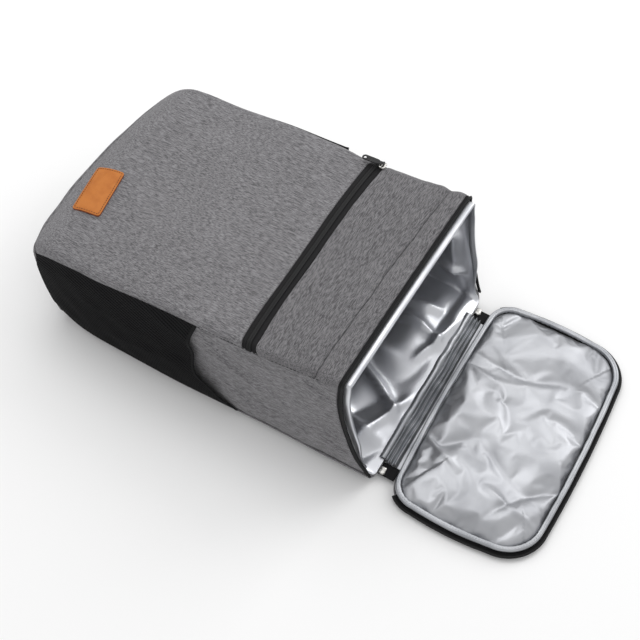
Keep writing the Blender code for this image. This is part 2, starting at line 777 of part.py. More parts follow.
def build_front_slider():
    """The slider at the far end of the pocket zip, with a bridge, and the pull hinged on the bridge."""
    y = HALF_WIDTH - SLIDER_FROM_EDGE
    q = 0.5 + (0.5 - ARC_SHARE) * y / (half_width(along_of(ZIP_AT)) - EDGE_RADIUS)
    x = front_line((zip_low(q) + zip_high(q)) / 2)
    coil_top = COIL_HEIGHT + CLEARANCE - ZIP_TAPE_RECESS
    level_z = top_level(along_of(x + SLIDER_WIDTH / 2), y / HALF_WIDTH) + coil_top + CLEARANCE
    plate = build_slider("front_zip_slider", Vector((x, y, level_z)))
    rise = PULL_BARREL_RADIUS + CLEARANCE
    build_bridge(plate, rise)
    build_pull(Vector((x, y, level_z + SLIDER_HEIGHT + rise)))


def build_mouth_sliders():
    """A plain slider at each end of the mouth's zip, on the tab beside the hinge."""
    for name, side in (("near", -1), ("far", 1)):
        y = side * (HINGE_HALF_WIDTH + 2 * CLEARANCE + TAB_WIDTH - SLIDER_LENGTH / 2)
        x = back_edge_x(y - SLIDER_LENGTH / 2) + SLIDER_WIDTH / 2
        level_z = LID_TAPE_LEVEL + TAB_THICKNESS + CLEARANCE
        build_slider(f"mouth_slider_{name}", Vector((x, y, level_z)))


def rod(name, radius, length, segments, axis):
    """A round rod along Y or Z, as a helper."""
    body = bmesh.new()
    turn = Matrix.Rotation(math.pi / 2, 4, "X") if axis == "Y" else Matrix()
    bmesh.ops.create_cone(body, cap_ends=True, segments=segments, radius1=radius, radius2=radius,
                          depth=length, matrix=turn)
    return object_from(name, body, "enamel", cutters)


def build_pull(hinge):
    """A flat pull pointing to -x: a barrel round the bridge at one end and a hole at the other."""
    half, neck = PULL_WIDTH / 2, PULL_NECK_WIDTH / 2
    count = 6
    tip = -PULL_LENGTH + half
    outline = []
    for k in range(count + 1):
        angle = math.pi / 2 + math.pi * k / count
        outline.append((tip + half * math.cos(angle), half * math.sin(angle)))
    shoulder = -SLIDER_WIDTH * 0.75
    root = -PULL_BARREL_RADIUS * 0.7
    outline += [(shoulder, -half), (shoulder * 0.6, -neck), (root, -neck)]
    outline += [(root, neck), (shoulder * 0.6, neck), (shoulder, half)]
    thick = PULL_THICKNESS / 2
    rings = [[Vector((x, y, z)) for x, y in outline] for z in (-thick, thick)]
    pull = loft("front_zip_pull", rings, "enamel")
    barrel = rod("pull_barrel", PULL_BARREL_RADIUS, 2 * neck, 12, "Y")
    bore = rod("pull_bore", BRIDGE_RADIUS + CLEARANCE, 4 * half, 10, "Y")
    eye = rod("pull_eye", PULL_HOLE_RADIUS, 6 * thick, 12, "Z")
    eye.location = (tip, 0, 0)
    for helper, operation in ((barrel, "UNION"), (bore, "DIFFERENCE"), (eye, "DIFFERENCE")):
        combine(pull, helper, operation)
        helper.parent = pull
    pull.matrix_world = Matrix.Translation(hinge) @ Matrix.Rotation(-PULL_DROOP, 4, "Y")


# The lid


def lid_place(deep, across, z):
    """A place of the lid: deep from its hinge edge, across from its middle."""
    x = LID_HINGE + deep * math.cos(LID_TURN) - across * math.sin(LID_TURN)
    y = LID_OFF_MIDDLE + across * math.cos(LID_TURN) + deep * math.sin(LID_TURN)
    return Vector((x, y, z))


def lid_outline(inset, per_corner=7, per_side=5):
    """The lid's rounded outline, as (deep, across) pairs, inset evenly from its edge."""
    points = []
    corners = (
        (LID_DEPTH, -1, LID_OUTER_RADIUS, -90),
        (LID_DEPTH, 1, LID_OUTER_RADIUS, 0),
        (0.0, 1, LID_HINGE_RADIUS, 90),
        (0.0, -1, LID_HINGE_RADIUS, 180),
    )
    for deep, side, radius, start in corners:
        centre_deep = deep - radius if deep else radius
        centre_across = side * (LID_HALF_WIDTH - radius)
        for k in range(per_corner + 1):
            angle = math.radians(start + 90 * k / per_corner)
            reach = radius - inset
            points.append((centre_deep + reach * math.cos(angle), centre_across + reach * math.sin(angle)))
    full = []
    stride = per_corner + 1
    for index, (start, end) in enumerate(zip(points, points[1:] + points[:1])):
        full.append(start)
        if (index + 1) % stride == 0:
            for k in range(1, per_side):
                share = k / per_side
                bow = LID_SIDE_BOW * 4 * share * (1 - share)
                direction = Vector((end[0] - start[0], end[1] - start[1])).normalized()
                full.append((start[0] + (end[0] - start[0]) * share + direction.y * bow,
                             start[1] + (end[1] - start[1]) * share - direction.x * bow))
    return full


def lid_ring(inset, z):
    return [lid_place(deep, across, z) for deep, across in lid_outline(inset)]


def puff_height(deep, across, edge):
    """Rise of the quilted lining, from its edge towards the middle."""
    share = min(edge / LID_PUFF_REACH, 1.0)
    rise = math.sqrt(share * (2 - share))
    for puff in LID_PUFFS:
        dx = (deep / LID_DEPTH - puff.deep) / puff.long
        dy = (across / LID_HALF_WIDTH - puff.across) / puff.wide
        rise += puff.rise * share * math.exp(-dx * dx - dy * dy)
    return LID_PUFF * rise


def build_lid_tape():
    """The zip tape round the lid's free edge, thicker along its outer half where the coil is."""
    outline = lid_outline(LID_TAPE_WIDTH / 2)
    free = [index for index, (deep, across) in enumerate(outline) if deep > LID_TAPE_END]
    start = next(index for index in free if (index - 1) % len(outline) not in free)
    path = [lid_place(*outline[(start + k) % len(outline)], LID_TAPE_LEVEL) for k in range(len(free))]
    half = LID_TAPE_WIDTH / 2
    coil_level = LID_TAPE_THICKNESS * 1.6
    section = [(-half, 0.0), (-half, LID_TAPE_THICKNESS), (half * 0.45, LID_TAPE_THICKNESS),
               (half * 0.55, coil_level), (half, coil_level), (half, 0.0)]
    strip_along("lid_zip_tape", path, section, "zip")


def build_lid_lining():
    """The quilted foil pad inside the rim, its rings drawn in from its seam."""
    floor_level = LID_TAPE_LEVEL + LID_TAPE_THICKNESS + CLEARANCE
    seam = LINING_INSET + LID_SHELL_ROUND
    rings = [lid_ring(seam, floor_level)]
    for share in (0.0, 0.06, 0.2, 0.42, 0.75, 1.15, 1.55):
        inward = share * LID_PUFF_REACH
        fits = LINING_INSET + inward < LID_HINGE_RADIUS
        outline = lid_outline(LINING_INSET + inward) if fits else shrunk_outline(LINING_INSET + inward)
        rings.append([
            lid_place(deep, across, floor_level + LID_SHELL_ROUND + puff_height(deep, across, inward))
            for deep, across in outline
        ])
    loft("lid_lining", rings, "foil")


def build_lid():
    """The lid: outer shell below, zip tape round its free edge, rolled rim, and quilted lining."""
    loft("lid_shell", [
        lid_ring(LID_SHELL_INSET + LID_SHELL_ROUND, 0.0),
        lid_ring(LID_SHELL_INSET, LID_SHELL_ROUND),
        lid_ring(LID_SHELL_INSET, LID_SHELL_THICKNESS - LID_SHELL_ROUND),
        lid_ring(LID_SHELL_INSET + LID_SHELL_ROUND, LID_SHELL_THICKNESS),
    ], "melange")
    build_lid_tape()
    sides = 6
    turns = [math.tau * k / sides for k in range(sides)]
    circle = [(LID_RIM_RADIUS * math.cos(turn), LID_RIM_RADIUS * math.sin(turn)) for turn in turns]
    strip_along("lid_rim", lid_ring(LID_RIM_INSET, LID_RIM_LEVEL), circle, "foil", closed=True)
    build_lid_lining()


def shrunk_outline(inset):
    """The lid's outline drawn towards its middle, where an even inset would cross itself."""
    half_depth = LID_DEPTH / 2
    keep = 1 - inset / half_depth
    reach = 1 - inset / LID_HALF_WIDTH
    return [(half_depth + (deep - half_depth) * keep, across * reach) for deep, across in lid_outline(0.0)]


# The hinge strip


def lid_edge_x(y, inset):
    """x of the lid's hinge edge at a place across, inset into the lid."""
    across = y - LID_OFF_MIDDLE
    corner = max(abs(across) - (LID_HALF_WIDTH - LID_HINGE_RADIUS), 0.0)
    deep = LID_HINGE_RADIUS - math.sqrt(LID_HINGE_RADIUS**2 - corner**2) + inset
    return lid_place(deep, across, 0.0).x


def build_hinge():
    """The pleated foil strip between the mouth's back edge and the lid, with a black tab at each end."""
    stops = 4 * HINGE_PLEATS
    start_level = BACK_LEVEL + WALL / 2 - PLEAT_THICKNESS / 2
    rings = []
    for y in steps(-HINGE_HALF_WIDTH, HINGE_HALF_WIDTH, 12):
        start = back_edge_x(y)
        end = lid_edge_x(y, LID_RIM_INSET)
        pleats_end = lid_edge_x(y, 0.0)
        top, bottom = [], []
        for k in range(stops + 1):
            share = k / stops
            wave = PLEAT_HEIGHT * (0.5 - 0.5 * math.cos(math.tau * HINGE_PLEATS * share))
            x = start + (pleats_end - start) * share
            low = start_level + (LID_TAPE_LEVEL - start_level) * share + wave
            top.append(Vector((x, y, low + PLEAT_THICKNESS)))
            bottom.append(Vector((x, y, low)))
        top.append(Vector((end, y, LID_TAPE_LEVEL + PLEAT_THICKNESS)))
        bottom.append(Vector((end, y, LID_TAPE_LEVEL)))
        rings.append(top + list(reversed(bottom)))
    loft("hinge_gusset", rings, "foil")

    for name, side in (("near", -1), ("far", 1)):
        middle = side * (HINGE_HALF_WIDTH + CLEARANCE + TAB_WIDTH / 2)
        start = back_edge_x(middle - TAB_WIDTH / 2)
        end = lid_edge_x(middle, LID_SHELL_INSET)
        centre = Vector(((start + end) / 2, middle, LID_TAPE_LEVEL + TAB_THICKNESS / 2))
        block(f"hinge_tab_{name}", (end - start, TAB_WIDTH, TAB_THICKNESS), centre, "zip",
              TAB_THICKNESS / 4)


# The carrying straps, flat under the bag


def build_strap(name, side, top_x, end_x):
    """A padded strap lying under the back, bowed outwards and narrower at its lower end."""
    soft = STRAP_THICKNESS * 0.3
    rings = []
    for share in steps(0, 1, 10):
        half = STRAP_WIDTH / 2 * (1 - 0.42 * smooth_step(0.82, 1.0, share))
        spread = STRAP_TOP_SPREAD + (STRAP_END_SPREAD - STRAP_TOP_SPREAD) * share
        x = top_x + (end_x - top_x) * share
        y = side * (spread + STRAP_BOW * math.sin(math.pi * share))
        profile = [(-half, soft), (-half + soft, 0.0), (half - soft, 0.0), (half, soft),
                   (half, STRAP_THICKNESS - soft), (half - soft, STRAP_THICKNESS),
                   (-half + soft, STRAP_THICKNESS), (-half, STRAP_THICKNESS - soft)]
        rings.append([Vector((x, y + across, z)) for across, z in profile])
    loft(f"shoulder_strap_{name}", rings, "strap")


def build_lock(name, side, end_x):
    """The ladder lock at the strap's end: a plate with one wide window."""
    centre = Vector((end_x - LOCK_LENGTH / 2 - CLEARANCE, side * STRAP_END_SPREAD, STRAP_THICKNESS / 2))
    width = WEBBING_WIDTH + 2 * CLEARANCE
    lock = block(f"ladder_lock_{name}", (LOCK_LENGTH, width + 2 * LOCK_RIM, LOCK_THICKNESS), centre,
                 "enamel", LOCK_THICKNESS / 5)
    window = block(f"lock_window_{name}", (LOCK_LENGTH / 2, width, 3 * LOCK_THICKNESS), centre,
                   "enamel", 0, group=cutters)
    combine(lock, window, "DIFFERENCE")


def build_webbing(name, side, start_x, end_x):
    """The webbing from the lock to the bag's bottom, rising to lie against the back."""
    low = (STRAP_THICKNESS - WEBBING_THICKNESS) / 2
    high = STRAP_THICKNESS - WEBBING_THICKNESS - CLEARANCE
    half = WEBBING_WIDTH / 2
    rings = []
    for share in steps(0, 1, 4):
        x = start_x + (end_x - start_x) * share
        y = side * (STRAP_END_SPREAD + WEBBING_SPREAD * share)
        z = low + (high - low) * smooth_step(0, 1, share)
        rings.append([Vector((x, y - half, z)), Vector((x, y + half, z)),
                      Vector((x, y + half, z + WEBBING_THICKNESS)),
                      Vector((x, y - half, z + WEBBING_THICKNESS))])
    loft(f"strap_webbing_{name}", rings, "strap")


def build_straps():
    """Two padded shoulder straps, and below each a ladder lock and a webbing."""
    top_x = BACK_END - STRAP_FROM_MOUTH
    end_x = top_x - STRAP_LENGTH
    for side, name in ((-1, "near"), (1, "far")):
        build_strap(name, side, top_x, end_x)
        build_lock(name, side, end_x)
        build_webbing(name, side, end_x - LOCK_LENGTH - 2 * CLEARANCE, BACK_START + WEBBING_FROM_BOTTOM)


def centre_on_floor():
    """Stands the whole on the floor with the middle of its box at the origin."""
    bpy.context.view_layer.update()
    graph = bpy.context.evaluated_depsgraph_get()
    pieces = [piece for piece in collection.objects if piece.type == "MESH"]
    points = []
    for piece in pieces:
        evaluated = piece.evaluated_get(graph)
        points += [piece.matrix_world @ vertex.co for vertex in evaluated.data.vertices]
    low = Vector([min(point[axis] for point in points) for axis in range(3)])
    high = Vector([max(point[axis] for point in points) for axis in range(3)])
    shift = Vector((-(low.x + high.x) / 2, -(low.y + high.y) / 2, -low.z))
    stand = bpy.data.objects.new("backpack_stand", None)
    collection.objects.link(stand)
    stand.location = shift
    for piece in pieces + [piece for piece in cutters.objects if not piece.parent]:
        piece.parent = stand


build_front()
build_sides()
build_bottom()
build_mouth()
build_lining()
build_pockets()
build_patch()
build_front_slider()
build_mouth_sliders()
build_lid()
build_hinge()
build_straps()
centre_on_floor()
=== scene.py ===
import json
import logging
import math
from dataclasses import dataclass
from enum import Enum
from typing import Callable, Optional, Sequence, Union

import bmesh
import bpy
import numpy as np
from mathutils import Matrix, Vector


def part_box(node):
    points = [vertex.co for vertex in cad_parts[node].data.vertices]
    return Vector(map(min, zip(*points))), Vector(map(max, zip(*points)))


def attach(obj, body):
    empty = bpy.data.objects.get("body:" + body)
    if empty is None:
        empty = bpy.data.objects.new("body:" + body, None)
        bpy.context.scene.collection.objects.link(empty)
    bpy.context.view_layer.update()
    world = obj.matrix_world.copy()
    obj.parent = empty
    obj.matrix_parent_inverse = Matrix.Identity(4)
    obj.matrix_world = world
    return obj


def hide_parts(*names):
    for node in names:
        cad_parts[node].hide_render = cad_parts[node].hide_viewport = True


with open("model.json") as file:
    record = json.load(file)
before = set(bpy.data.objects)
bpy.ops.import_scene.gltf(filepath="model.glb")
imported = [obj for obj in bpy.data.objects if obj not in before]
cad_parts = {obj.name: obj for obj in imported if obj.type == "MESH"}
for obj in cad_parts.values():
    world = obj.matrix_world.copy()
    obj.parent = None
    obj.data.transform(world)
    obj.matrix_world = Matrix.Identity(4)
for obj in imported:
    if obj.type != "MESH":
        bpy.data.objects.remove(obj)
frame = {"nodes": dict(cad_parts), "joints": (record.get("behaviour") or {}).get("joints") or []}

log = logging.getLogger("cooler_backpack")

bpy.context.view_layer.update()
BAG_ORIGIN = np.array((-0.303861, -0.002677, 0.0))
CLOTH_MAP = "cloth"
TAU = math.tau

Colour = tuple[float, float, float]
Relief = Callable[[np.ndarray, np.ndarray], np.ndarray]
SeamLine = Callable[[np.ndarray], np.ndarray]


# Shader graphs


class Sock:
    """A socket of a shader graph, whose operators add Math nodes."""

    def __init__(self, graph: "Graph", link: bpy.types.NodeSocket) -> None:
        """Wraps one output socket.

        Args:
            graph: the graph that the socket belongs to.
            link: the output socket.
        """
        self.graph = graph
        self.link = link

    def _math(self, operation: str, *values: "Value") -> "Sock":
        """A Math node over these values."""
        return self.graph.node("ShaderNodeMath", {"operation": operation}, dict(enumerate(values)))

    def __add__(self, other: "Value") -> "Sock":
        """self + other."""
        return self._math("ADD", self, other)

    def __radd__(self, other: "Value") -> "Sock":
        """other + self."""
        return self._math("ADD", other, self)

    def __sub__(self, other: "Value") -> "Sock":
        """self - other."""
        return self._math("SUBTRACT", self, other)

    def __rsub__(self, other: "Value") -> "Sock":
        """other - self."""
        return self._math("SUBTRACT", other, self)

    def __mul__(self, other: "Value") -> "Sock":
        """self * other."""
        return self._math("MULTIPLY", self, other)

    def __rmul__(self, other: "Value") -> "Sock":
        """other * self."""
        return self._math("MULTIPLY", other, self)

    def __truediv__(self, other: "Value") -> "Sock":
        """self / other."""
        return self._math("DIVIDE", self, other)

    def sine(self) -> "Sock":
        """The sine of the value."""
        return self._math("SINE", self)

    def between(self, low: float, high: float) -> "Sock":
        """A smooth mask.

        Args:
            low: the value where the mask is 0.
            high: the value where it is 1.

        Returns:
            The mask, from 0 to 1.
        """
        settings = {"interpolation_type": "SMOOTHSTEP"}
        inputs = {"Value": self, "From Min": low, "From Max": high}
        return self.graph.node("ShaderNodeMapRange", settings, inputs)


Value = Union[Sock, float, tuple]


class Graph:
    """The node graph of one material, around its Principled shader."""

    def __init__(self, name: str) -> None:
        """Starts a material.

        Args:
            name: the material's name.
        """
        self.material = bpy.data.materials.new(name)
        self.material.use_nodes = True
        self.tree = self.material.node_tree
        self.shader = self.tree.nodes["Principled BSDF"]

    def node(self, kind: str, settings: Optional[dict] = None, inputs: Optional[dict] = None,
             output: Union[int, str] = 0) -> Sock:
        """Adds a node, sets it up and joins its inputs.

        Args:
            kind: the node's type.
            settings: its properties, set first.
            inputs: values or sockets, by the input's index, identifier or name.
            output: the index or name of the output to return.

        Returns:
            The chosen output.
        """
        node = self.tree.nodes.new(kind)
        for name, value in (settings or {}).items():
            setattr(node, name, value)
        for key, value in (inputs or {}).items():
            self.join(self._socket(node.inputs, key), value)
        return Sock(self, self._socket(node.outputs, output))

    @staticmethod
    def _socket(sockets: bpy.types.bpy_prop_collection, key: Union[int, str]) -> bpy.types.NodeSocket:
        """The socket with this index, identifier or name."""
        if isinstance(key, int):
            return sockets[key]
        for socket in sockets:
            if socket.identifier == key:
                return socket
        return sockets[key]

    def join(self, socket: bpy.types.NodeSocket, value: Value) -> None:
        """Links a socket to a value's node, or sets its number or colour."""
        if isinstance(value, Sock):
            self.tree.links.new(value.link, socket)
        elif isinstance(value, tuple) and len(socket.default_value) == 4:
            socket.default_value = (*value, 1.0)
        else:
            socket.default_value = value

    def place(self) -> Sock:
        """Coordinates in metres, fixed to the bag."""
        return self.node("ShaderNodeTexCoord", output="Object")

    def cloth(self) -> Sock:
        """Coordinates in metres that follow a strip: its length in x and its width in y."""
        return self.node("ShaderNodeUVMap", {"uv_map": CLOTH_MAP})

    def axis(self, vector: Sock, name: str) -> Sock:
        """One axis of a vector, X, Y or Z."""
        return self.node("ShaderNodeSeparateXYZ", inputs={0: vector}, output=name)

    def scaled(self, vector: Sock, size: tuple[float, float, float], turn: float = 0.0) -> Sock:
        """A vector turned round Z and divided by a size.

        Args:
            vector: the coordinates.
            size: the length that becomes 1, on each axis.
            turn: the turn round Z, in radians.

        Returns:
            The scaled coordinates.
        """
        factors = tuple(1.0 / length for length in size)
        turned = self.node("ShaderNodeMapping", inputs={"Vector": vector, "Rotation": (0.0, 0.0, turn)})
        return self.node("ShaderNodeVectorMath", {"operation": "MULTIPLY"}, {0: turned, 1: factors})

    def noise(self, vector: Sock, detail: float = 2.0, roughness: float = 0.5,
              distortion: float = 0.0) -> Sock:
        """Smooth noise with features about 1 wide in the vector's units."""
        inputs = {"Vector": vector, "Scale": 1.0, "Detail": detail, "Roughness": roughness,
                  "Distortion": distortion}
        return self.node("ShaderNodeTexNoise", inputs=inputs)

    def mix(self, factor: Value, low: Value, high: Value) -> Sock:
        """A colour between two others."""
        inputs = {"Factor_Float": factor, "A_Color": low, "B_Color": high}
        return self.node("ShaderNodeMix", {"data_type": "RGBA"}, inputs, "Result_Color")

    def bump(self, height: Sock, distance: float, strength: float = 1.0,
             under: Optional[Sock] = None) -> Sock:
        """A Bump node.

        Args:
            height: the relief, from 0 to 1.
            distance: its full height in metres.
            strength: its weight.
            under: a coarser bump that this one adds to.

        Returns:
            The normal.
        """
        inputs: dict = {"Strength": strength, "Distance": distance, "Height": height}
        if under is not None:
            inputs["Normal"] = under
        return self.node("ShaderNodeBump", inputs=inputs)

    def finish(self, **inputs: Value) -> bpy.types.Material:
        """Sets the shader's inputs, named with _ for a space, and gives the material."""
        for name, value in inputs.items():
            self.join(self.shader.inputs[name.replace("_", " ")], value)
        return self.material


# Finishes


def tinted(colour: Colour, factor: float) -> Colour:
    """A colour made lighter or darker, held under 1."""
    return tuple(min(part * factor, 1.0) for part in colour)


class Grain(Enum):
    """The way that a cloth's long flecks run."""

    ALONG = "along"
    ACROSS = "across"


@dataclass(frozen=True)
class Melange:
    """Grey melange polyester: long flecks of lighter and darker yarn over a fine plain weave."""

    grain: Grain = Grain.ALONG
    dark: Colour = (0.088, 0.0855, 0.0900)
    light: Colour = (0.252, 0.247, 0.257)
    fleck_length: float = 0.0075
    fleck_width: float = 0.0007
    weave: float = 0.0008
    fleck_contrast: float = 3.2
    yarn_contrast: float = 1.4
    cross_contrast: float = 0.5

    def material(self) -> bpy.types.Material:
        """The finish as a material."""
        graph = Graph(f"melange_{self.grain.value}")
        place = graph.place()
        long, wide = self.fleck_length, self.fleck_width

        def run(length: float, width: float) -> tuple[float, float, float]:
            """Sizes of a fleck on the three axes."""
            return (length, width, width) if self.grain is Grain.ALONG else (width, length, width)

        flecks = graph.noise(graph.scaled(place, run(long, wide)), detail=2.0, roughness=0.6)
        yarn = graph.noise(graph.scaled(place, run(wide * 1.6, wide * 0.5)), detail=2.0, roughness=0.7)
        cross = graph.noise(graph.scaled(place, run(wide * 0.8, long * 0.35)), detail=1.0)
        tone = ((flecks - 0.5) * self.fleck_contrast + (yarn - 0.5) * self.yarn_contrast
                + (cross - 0.5) * self.cross_contrast + 0.5)
        shade = tone.between(0.0, 1.0)
        broad = graph.noise(graph.scaled(place, (0.07, 0.07, 0.07)), detail=3.0)
        rubbed = broad.between(0.45, 0.75)
        colour = graph.mix(shade, self.dark, self.light)
        paler = graph.mix(shade, tinted(self.dark, 1.22), tinted(self.light, 1.12))
        threads = self._threads(graph, place)
        height = threads * 0.5 + shade * 0.5
        return graph.finish(
            Base_Color=graph.mix(rubbed * 0.6, colour, paler),
            Roughness=0.95 - shade * 0.12,
            Sheen_Weight=0.12,
            Sheen_Roughness=0.5,
            Specular_IOR_Level=0.25,
            Normal=graph.bump(height, 0.0003, 0.8),
        )

    def _threads(self, graph: Graph, place: Sock) -> Sock:
        """The plain weave's relief, from 0 to 1."""
        step = TAU / self.weave
        waves = [(graph.axis(place, name) * step).sine() for name in "XYZ"]
        return (waves[0] * waves[1] + waves[0] * waves[2] + waves[1] * waves[2]) * 0.2 + 0.5


@dataclass(frozen=True)
class PocketMesh:
    """Black stretch mesh: fine slanting ribs with rows of small holes between them; holes and hollows carry
    painted shade.
    """

    yarn: Colour = (0.0100, 0.0100, 0.0106)
    # hole is painted shade: the dark seen in the holes and in the hollows between the ribs.
    hole: Colour = (0.0008, 0.0008, 0.0009)
    rib: float = 0.0044
    lean: float = 0.55

    def material(self) -> bpy.types.Material:
        """The finish as a material."""
        graph = Graph("pocket_mesh")
        cloth = graph.cloth()
        turned = graph.scaled(cloth, (1.0, 1.0, 1.0), self.lean)
        drift = graph.noise(graph.scaled(cloth, (0.03, 0.03, 1.0)), detail=1.0) * 1.6
        across = (graph.axis(turned, "Y") * (TAU / self.rib) + drift * 2.0).sine() * 0.5 + 0.5
        along = (graph.axis(turned, "X") * (TAU / (self.rib * 0.62)) + drift).sine() * 0.5 + 0.5
        open_part = (1.0 - across).between(0.35, 0.9) * along.between(0.3, 0.8)
        fuzz = graph.noise(graph.scaled(cloth, (0.0009, 0.0009, 1.0)), detail=2.0)
        lit = graph.mix(fuzz, tinted(self.yarn, 0.7), tinted(self.yarn, 1.5))
        height = across * 0.7 + (1.0 - open_part) * 0.3
        return graph.finish(
            # The colour darkens towards hole between the ribs and in the holes: painted shade.
            Base_Color=graph.mix((1.0 - across) * 0.55 + open_part * 0.45, lit, self.hole),
            Roughness=0.78 + open_part * 0.15,
            Specular_IOR_Level=0.08,
            Normal=graph.bump(height, 0.0010, 1.0),
        )


@dataclass(frozen=True)
class Tape:
    """Woven tape: lengthwise ribs crossed by fine weft, a little paler where it is rubbed."""

    name: str = "zip_tape"
    base: Colour = (0.0065, 0.0062, 0.0068)
    worn: Colour = (0.021, 0.020, 0.022)
    rib: float = 0.0011
    gloss: float = 0.62

    def material(self) -> bpy.types.Material:
        """The finish as a material."""
        graph = Graph(self.name)
        cloth = graph.cloth()
        ribs = (graph.axis(cloth, "Y") * (TAU / self.rib)).sine() * 0.5 + 0.5
        weft = (graph.axis(cloth, "X") * (TAU / (self.rib * 0.7))).sine() * 0.5 + 0.5
        lint = graph.noise(graph.scaled(cloth, (0.006, 0.0012, 1.0)), detail=3.0)
        rubbed = lint.between(0.5, 0.8) * 0.7 + ribs * 0.25
        return graph.finish(
            Base_Color=graph.mix(rubbed, self.base, self.worn),
            Roughness=self.gloss + lint * 0.2,
            Specular_IOR_Level=0.2,
            Normal=graph.bump(ribs * 0.7 + weft * 0.3, 0.00022, 0.8),
        )


@dataclass(frozen=True)
class Foil:
    """Silver laminated lining film: satin metal with fine crinkles and dulled patches."""

    name: str = "foil"
    bright: Colour = (0.445, 0.453, 0.475)
    dull: Colour = (0.350, 0.357, 0.378)
    metallic: float = 0.80
    roughness: float = 0.38
    crinkle: float = 0.0010

    def material(self) -> bpy.types.Material:
        """The finish as a material."""
        graph = Graph(self.name)
        place = graph.place()
        broad = graph.noise(graph.scaled(place, (0.045, 0.045, 0.045)), detail=2.0)
        small = graph.noise(graph.scaled(place, (0.018, 0.018, 0.018)), detail=3.0, distortion=0.6)
        grit = graph.noise(graph.scaled(place, (0.0012, 0.0012, 0.0012)), detail=2.0)
        dulled = broad.between(0.35, 0.7)
        coarse = graph.bump(small, self.crinkle, 0.16)
        return graph.finish(
            Base_Color=graph.mix(dulled, self.bright, self.dull),
            Metallic=self.metallic,
            Roughness=self.roughness + dulled * 0.08 + grit * 0.06,
            Normal=graph.bump(grit, 0.00008, 0.5, under=coarse),
        )


@dataclass(frozen=True)
class Leather:
    """Tan smooth leather: fine pores, a mottled tone and deeper colour where it is pressed."""

    name: str = "leather"
    tan: Colour = (0.490, 0.165, 0.030)
    deep: Colour = (0.380, 0.112, 0.018)
    pore: float = 0.0008

    def material(self) -> bpy.types.Material:
        """The finish as a material."""
        graph = Graph(self.name)
        place = graph.place()
        mottle = graph.noise(graph.scaled(place, (0.011, 0.011, 0.011)), detail=4.0)
        cells = graph.node("ShaderNodeTexVoronoi", {"feature": "DISTANCE_TO_EDGE"},
                           {"Vector": graph.scaled(place, (self.pore,) * 3), "Scale": 1.0})
        pores = cells.between(0.0, 0.25)
        grain = graph.noise(graph.scaled(place, (0.0004, 0.0004, 0.0004)), detail=2.0)
        return graph.finish(
            Base_Color=graph.mix(mottle.between(0.35, 0.75) * 0.6, self.tan, self.deep),
            Roughness=0.46 + mottle * 0.16,
            Specular_IOR_Level=0.25,
            Normal=graph.bump(pores * 0.7 + grain * 0.3, 0.00009, 0.8),
        )


@dataclass(frozen=True)
class Thread:
    """Twisted sewing thread."""

    name: str
    base: Colour
    lift: float = 1.8

    def material(self) -> bpy.types.Material:
        """The finish as a material."""
        graph = Graph(self.name)
        strands = graph.noise(graph.scaled(graph.place(), (0.0011, 0.0004, 0.0004)), detail=1.0)
        return graph.finish(
            Base_Color=graph.mix(strands, self.base, tinted(self.base, self.lift)),
            Roughness=0.6,
            Normal=graph.bump(strands, 0.0001, 0.6),
        )


@dataclass(frozen=True)
class Cast:
    """Cast or painted metal, or moulded plastic: small ripples, scuffs and rubbed high places."""

    name: str
    base: Colour
    rubbed: Colour
    metallic: float
    roughness: float

    def material(self) -> bpy.types.Material:
        """The finish as a material."""
        graph = Graph(self.name)
        place = graph.place()
        ripple = graph.noise(graph.scaled(place, (0.0025, 0.0025, 0.0025)), detail=3.0)
        scuff = graph.noise(graph.scaled(place, (0.0006, 0.003, 0.0006)), detail=3.0).between(0.55, 0.8)
        return graph.finish(
            Base_Color=graph.mix(scuff * 0.5, self.base, self.rubbed),
            Metallic=self.metallic,
            Roughness=self.roughness + ripple * 0.12 + scuff * 0.1,
            Specular_IOR_Level=0.3,
            Normal=graph.bump(ripple, 0.0001, 0.4),
        )


@dataclass(frozen=True)
class PaleFloor:
    """A plain pale studio floor."""

    tone: Colour = (0.90, 0.90, 0.90)

    def material(self) -> bpy.types.Material:
        """The finish as a material."""
        graph = Graph("pale_floor")
        cloud = graph.noise(graph.scaled(graph.place(), (0.6, 0.6, 0.6)), detail=1.0)
        colour = graph.mix(cloud, tinted(self.tone, 0.99), self.tone)
        return graph.finish(Base_Color=colour, Roughness=0.9, Specular_IOR_Level=0.1)


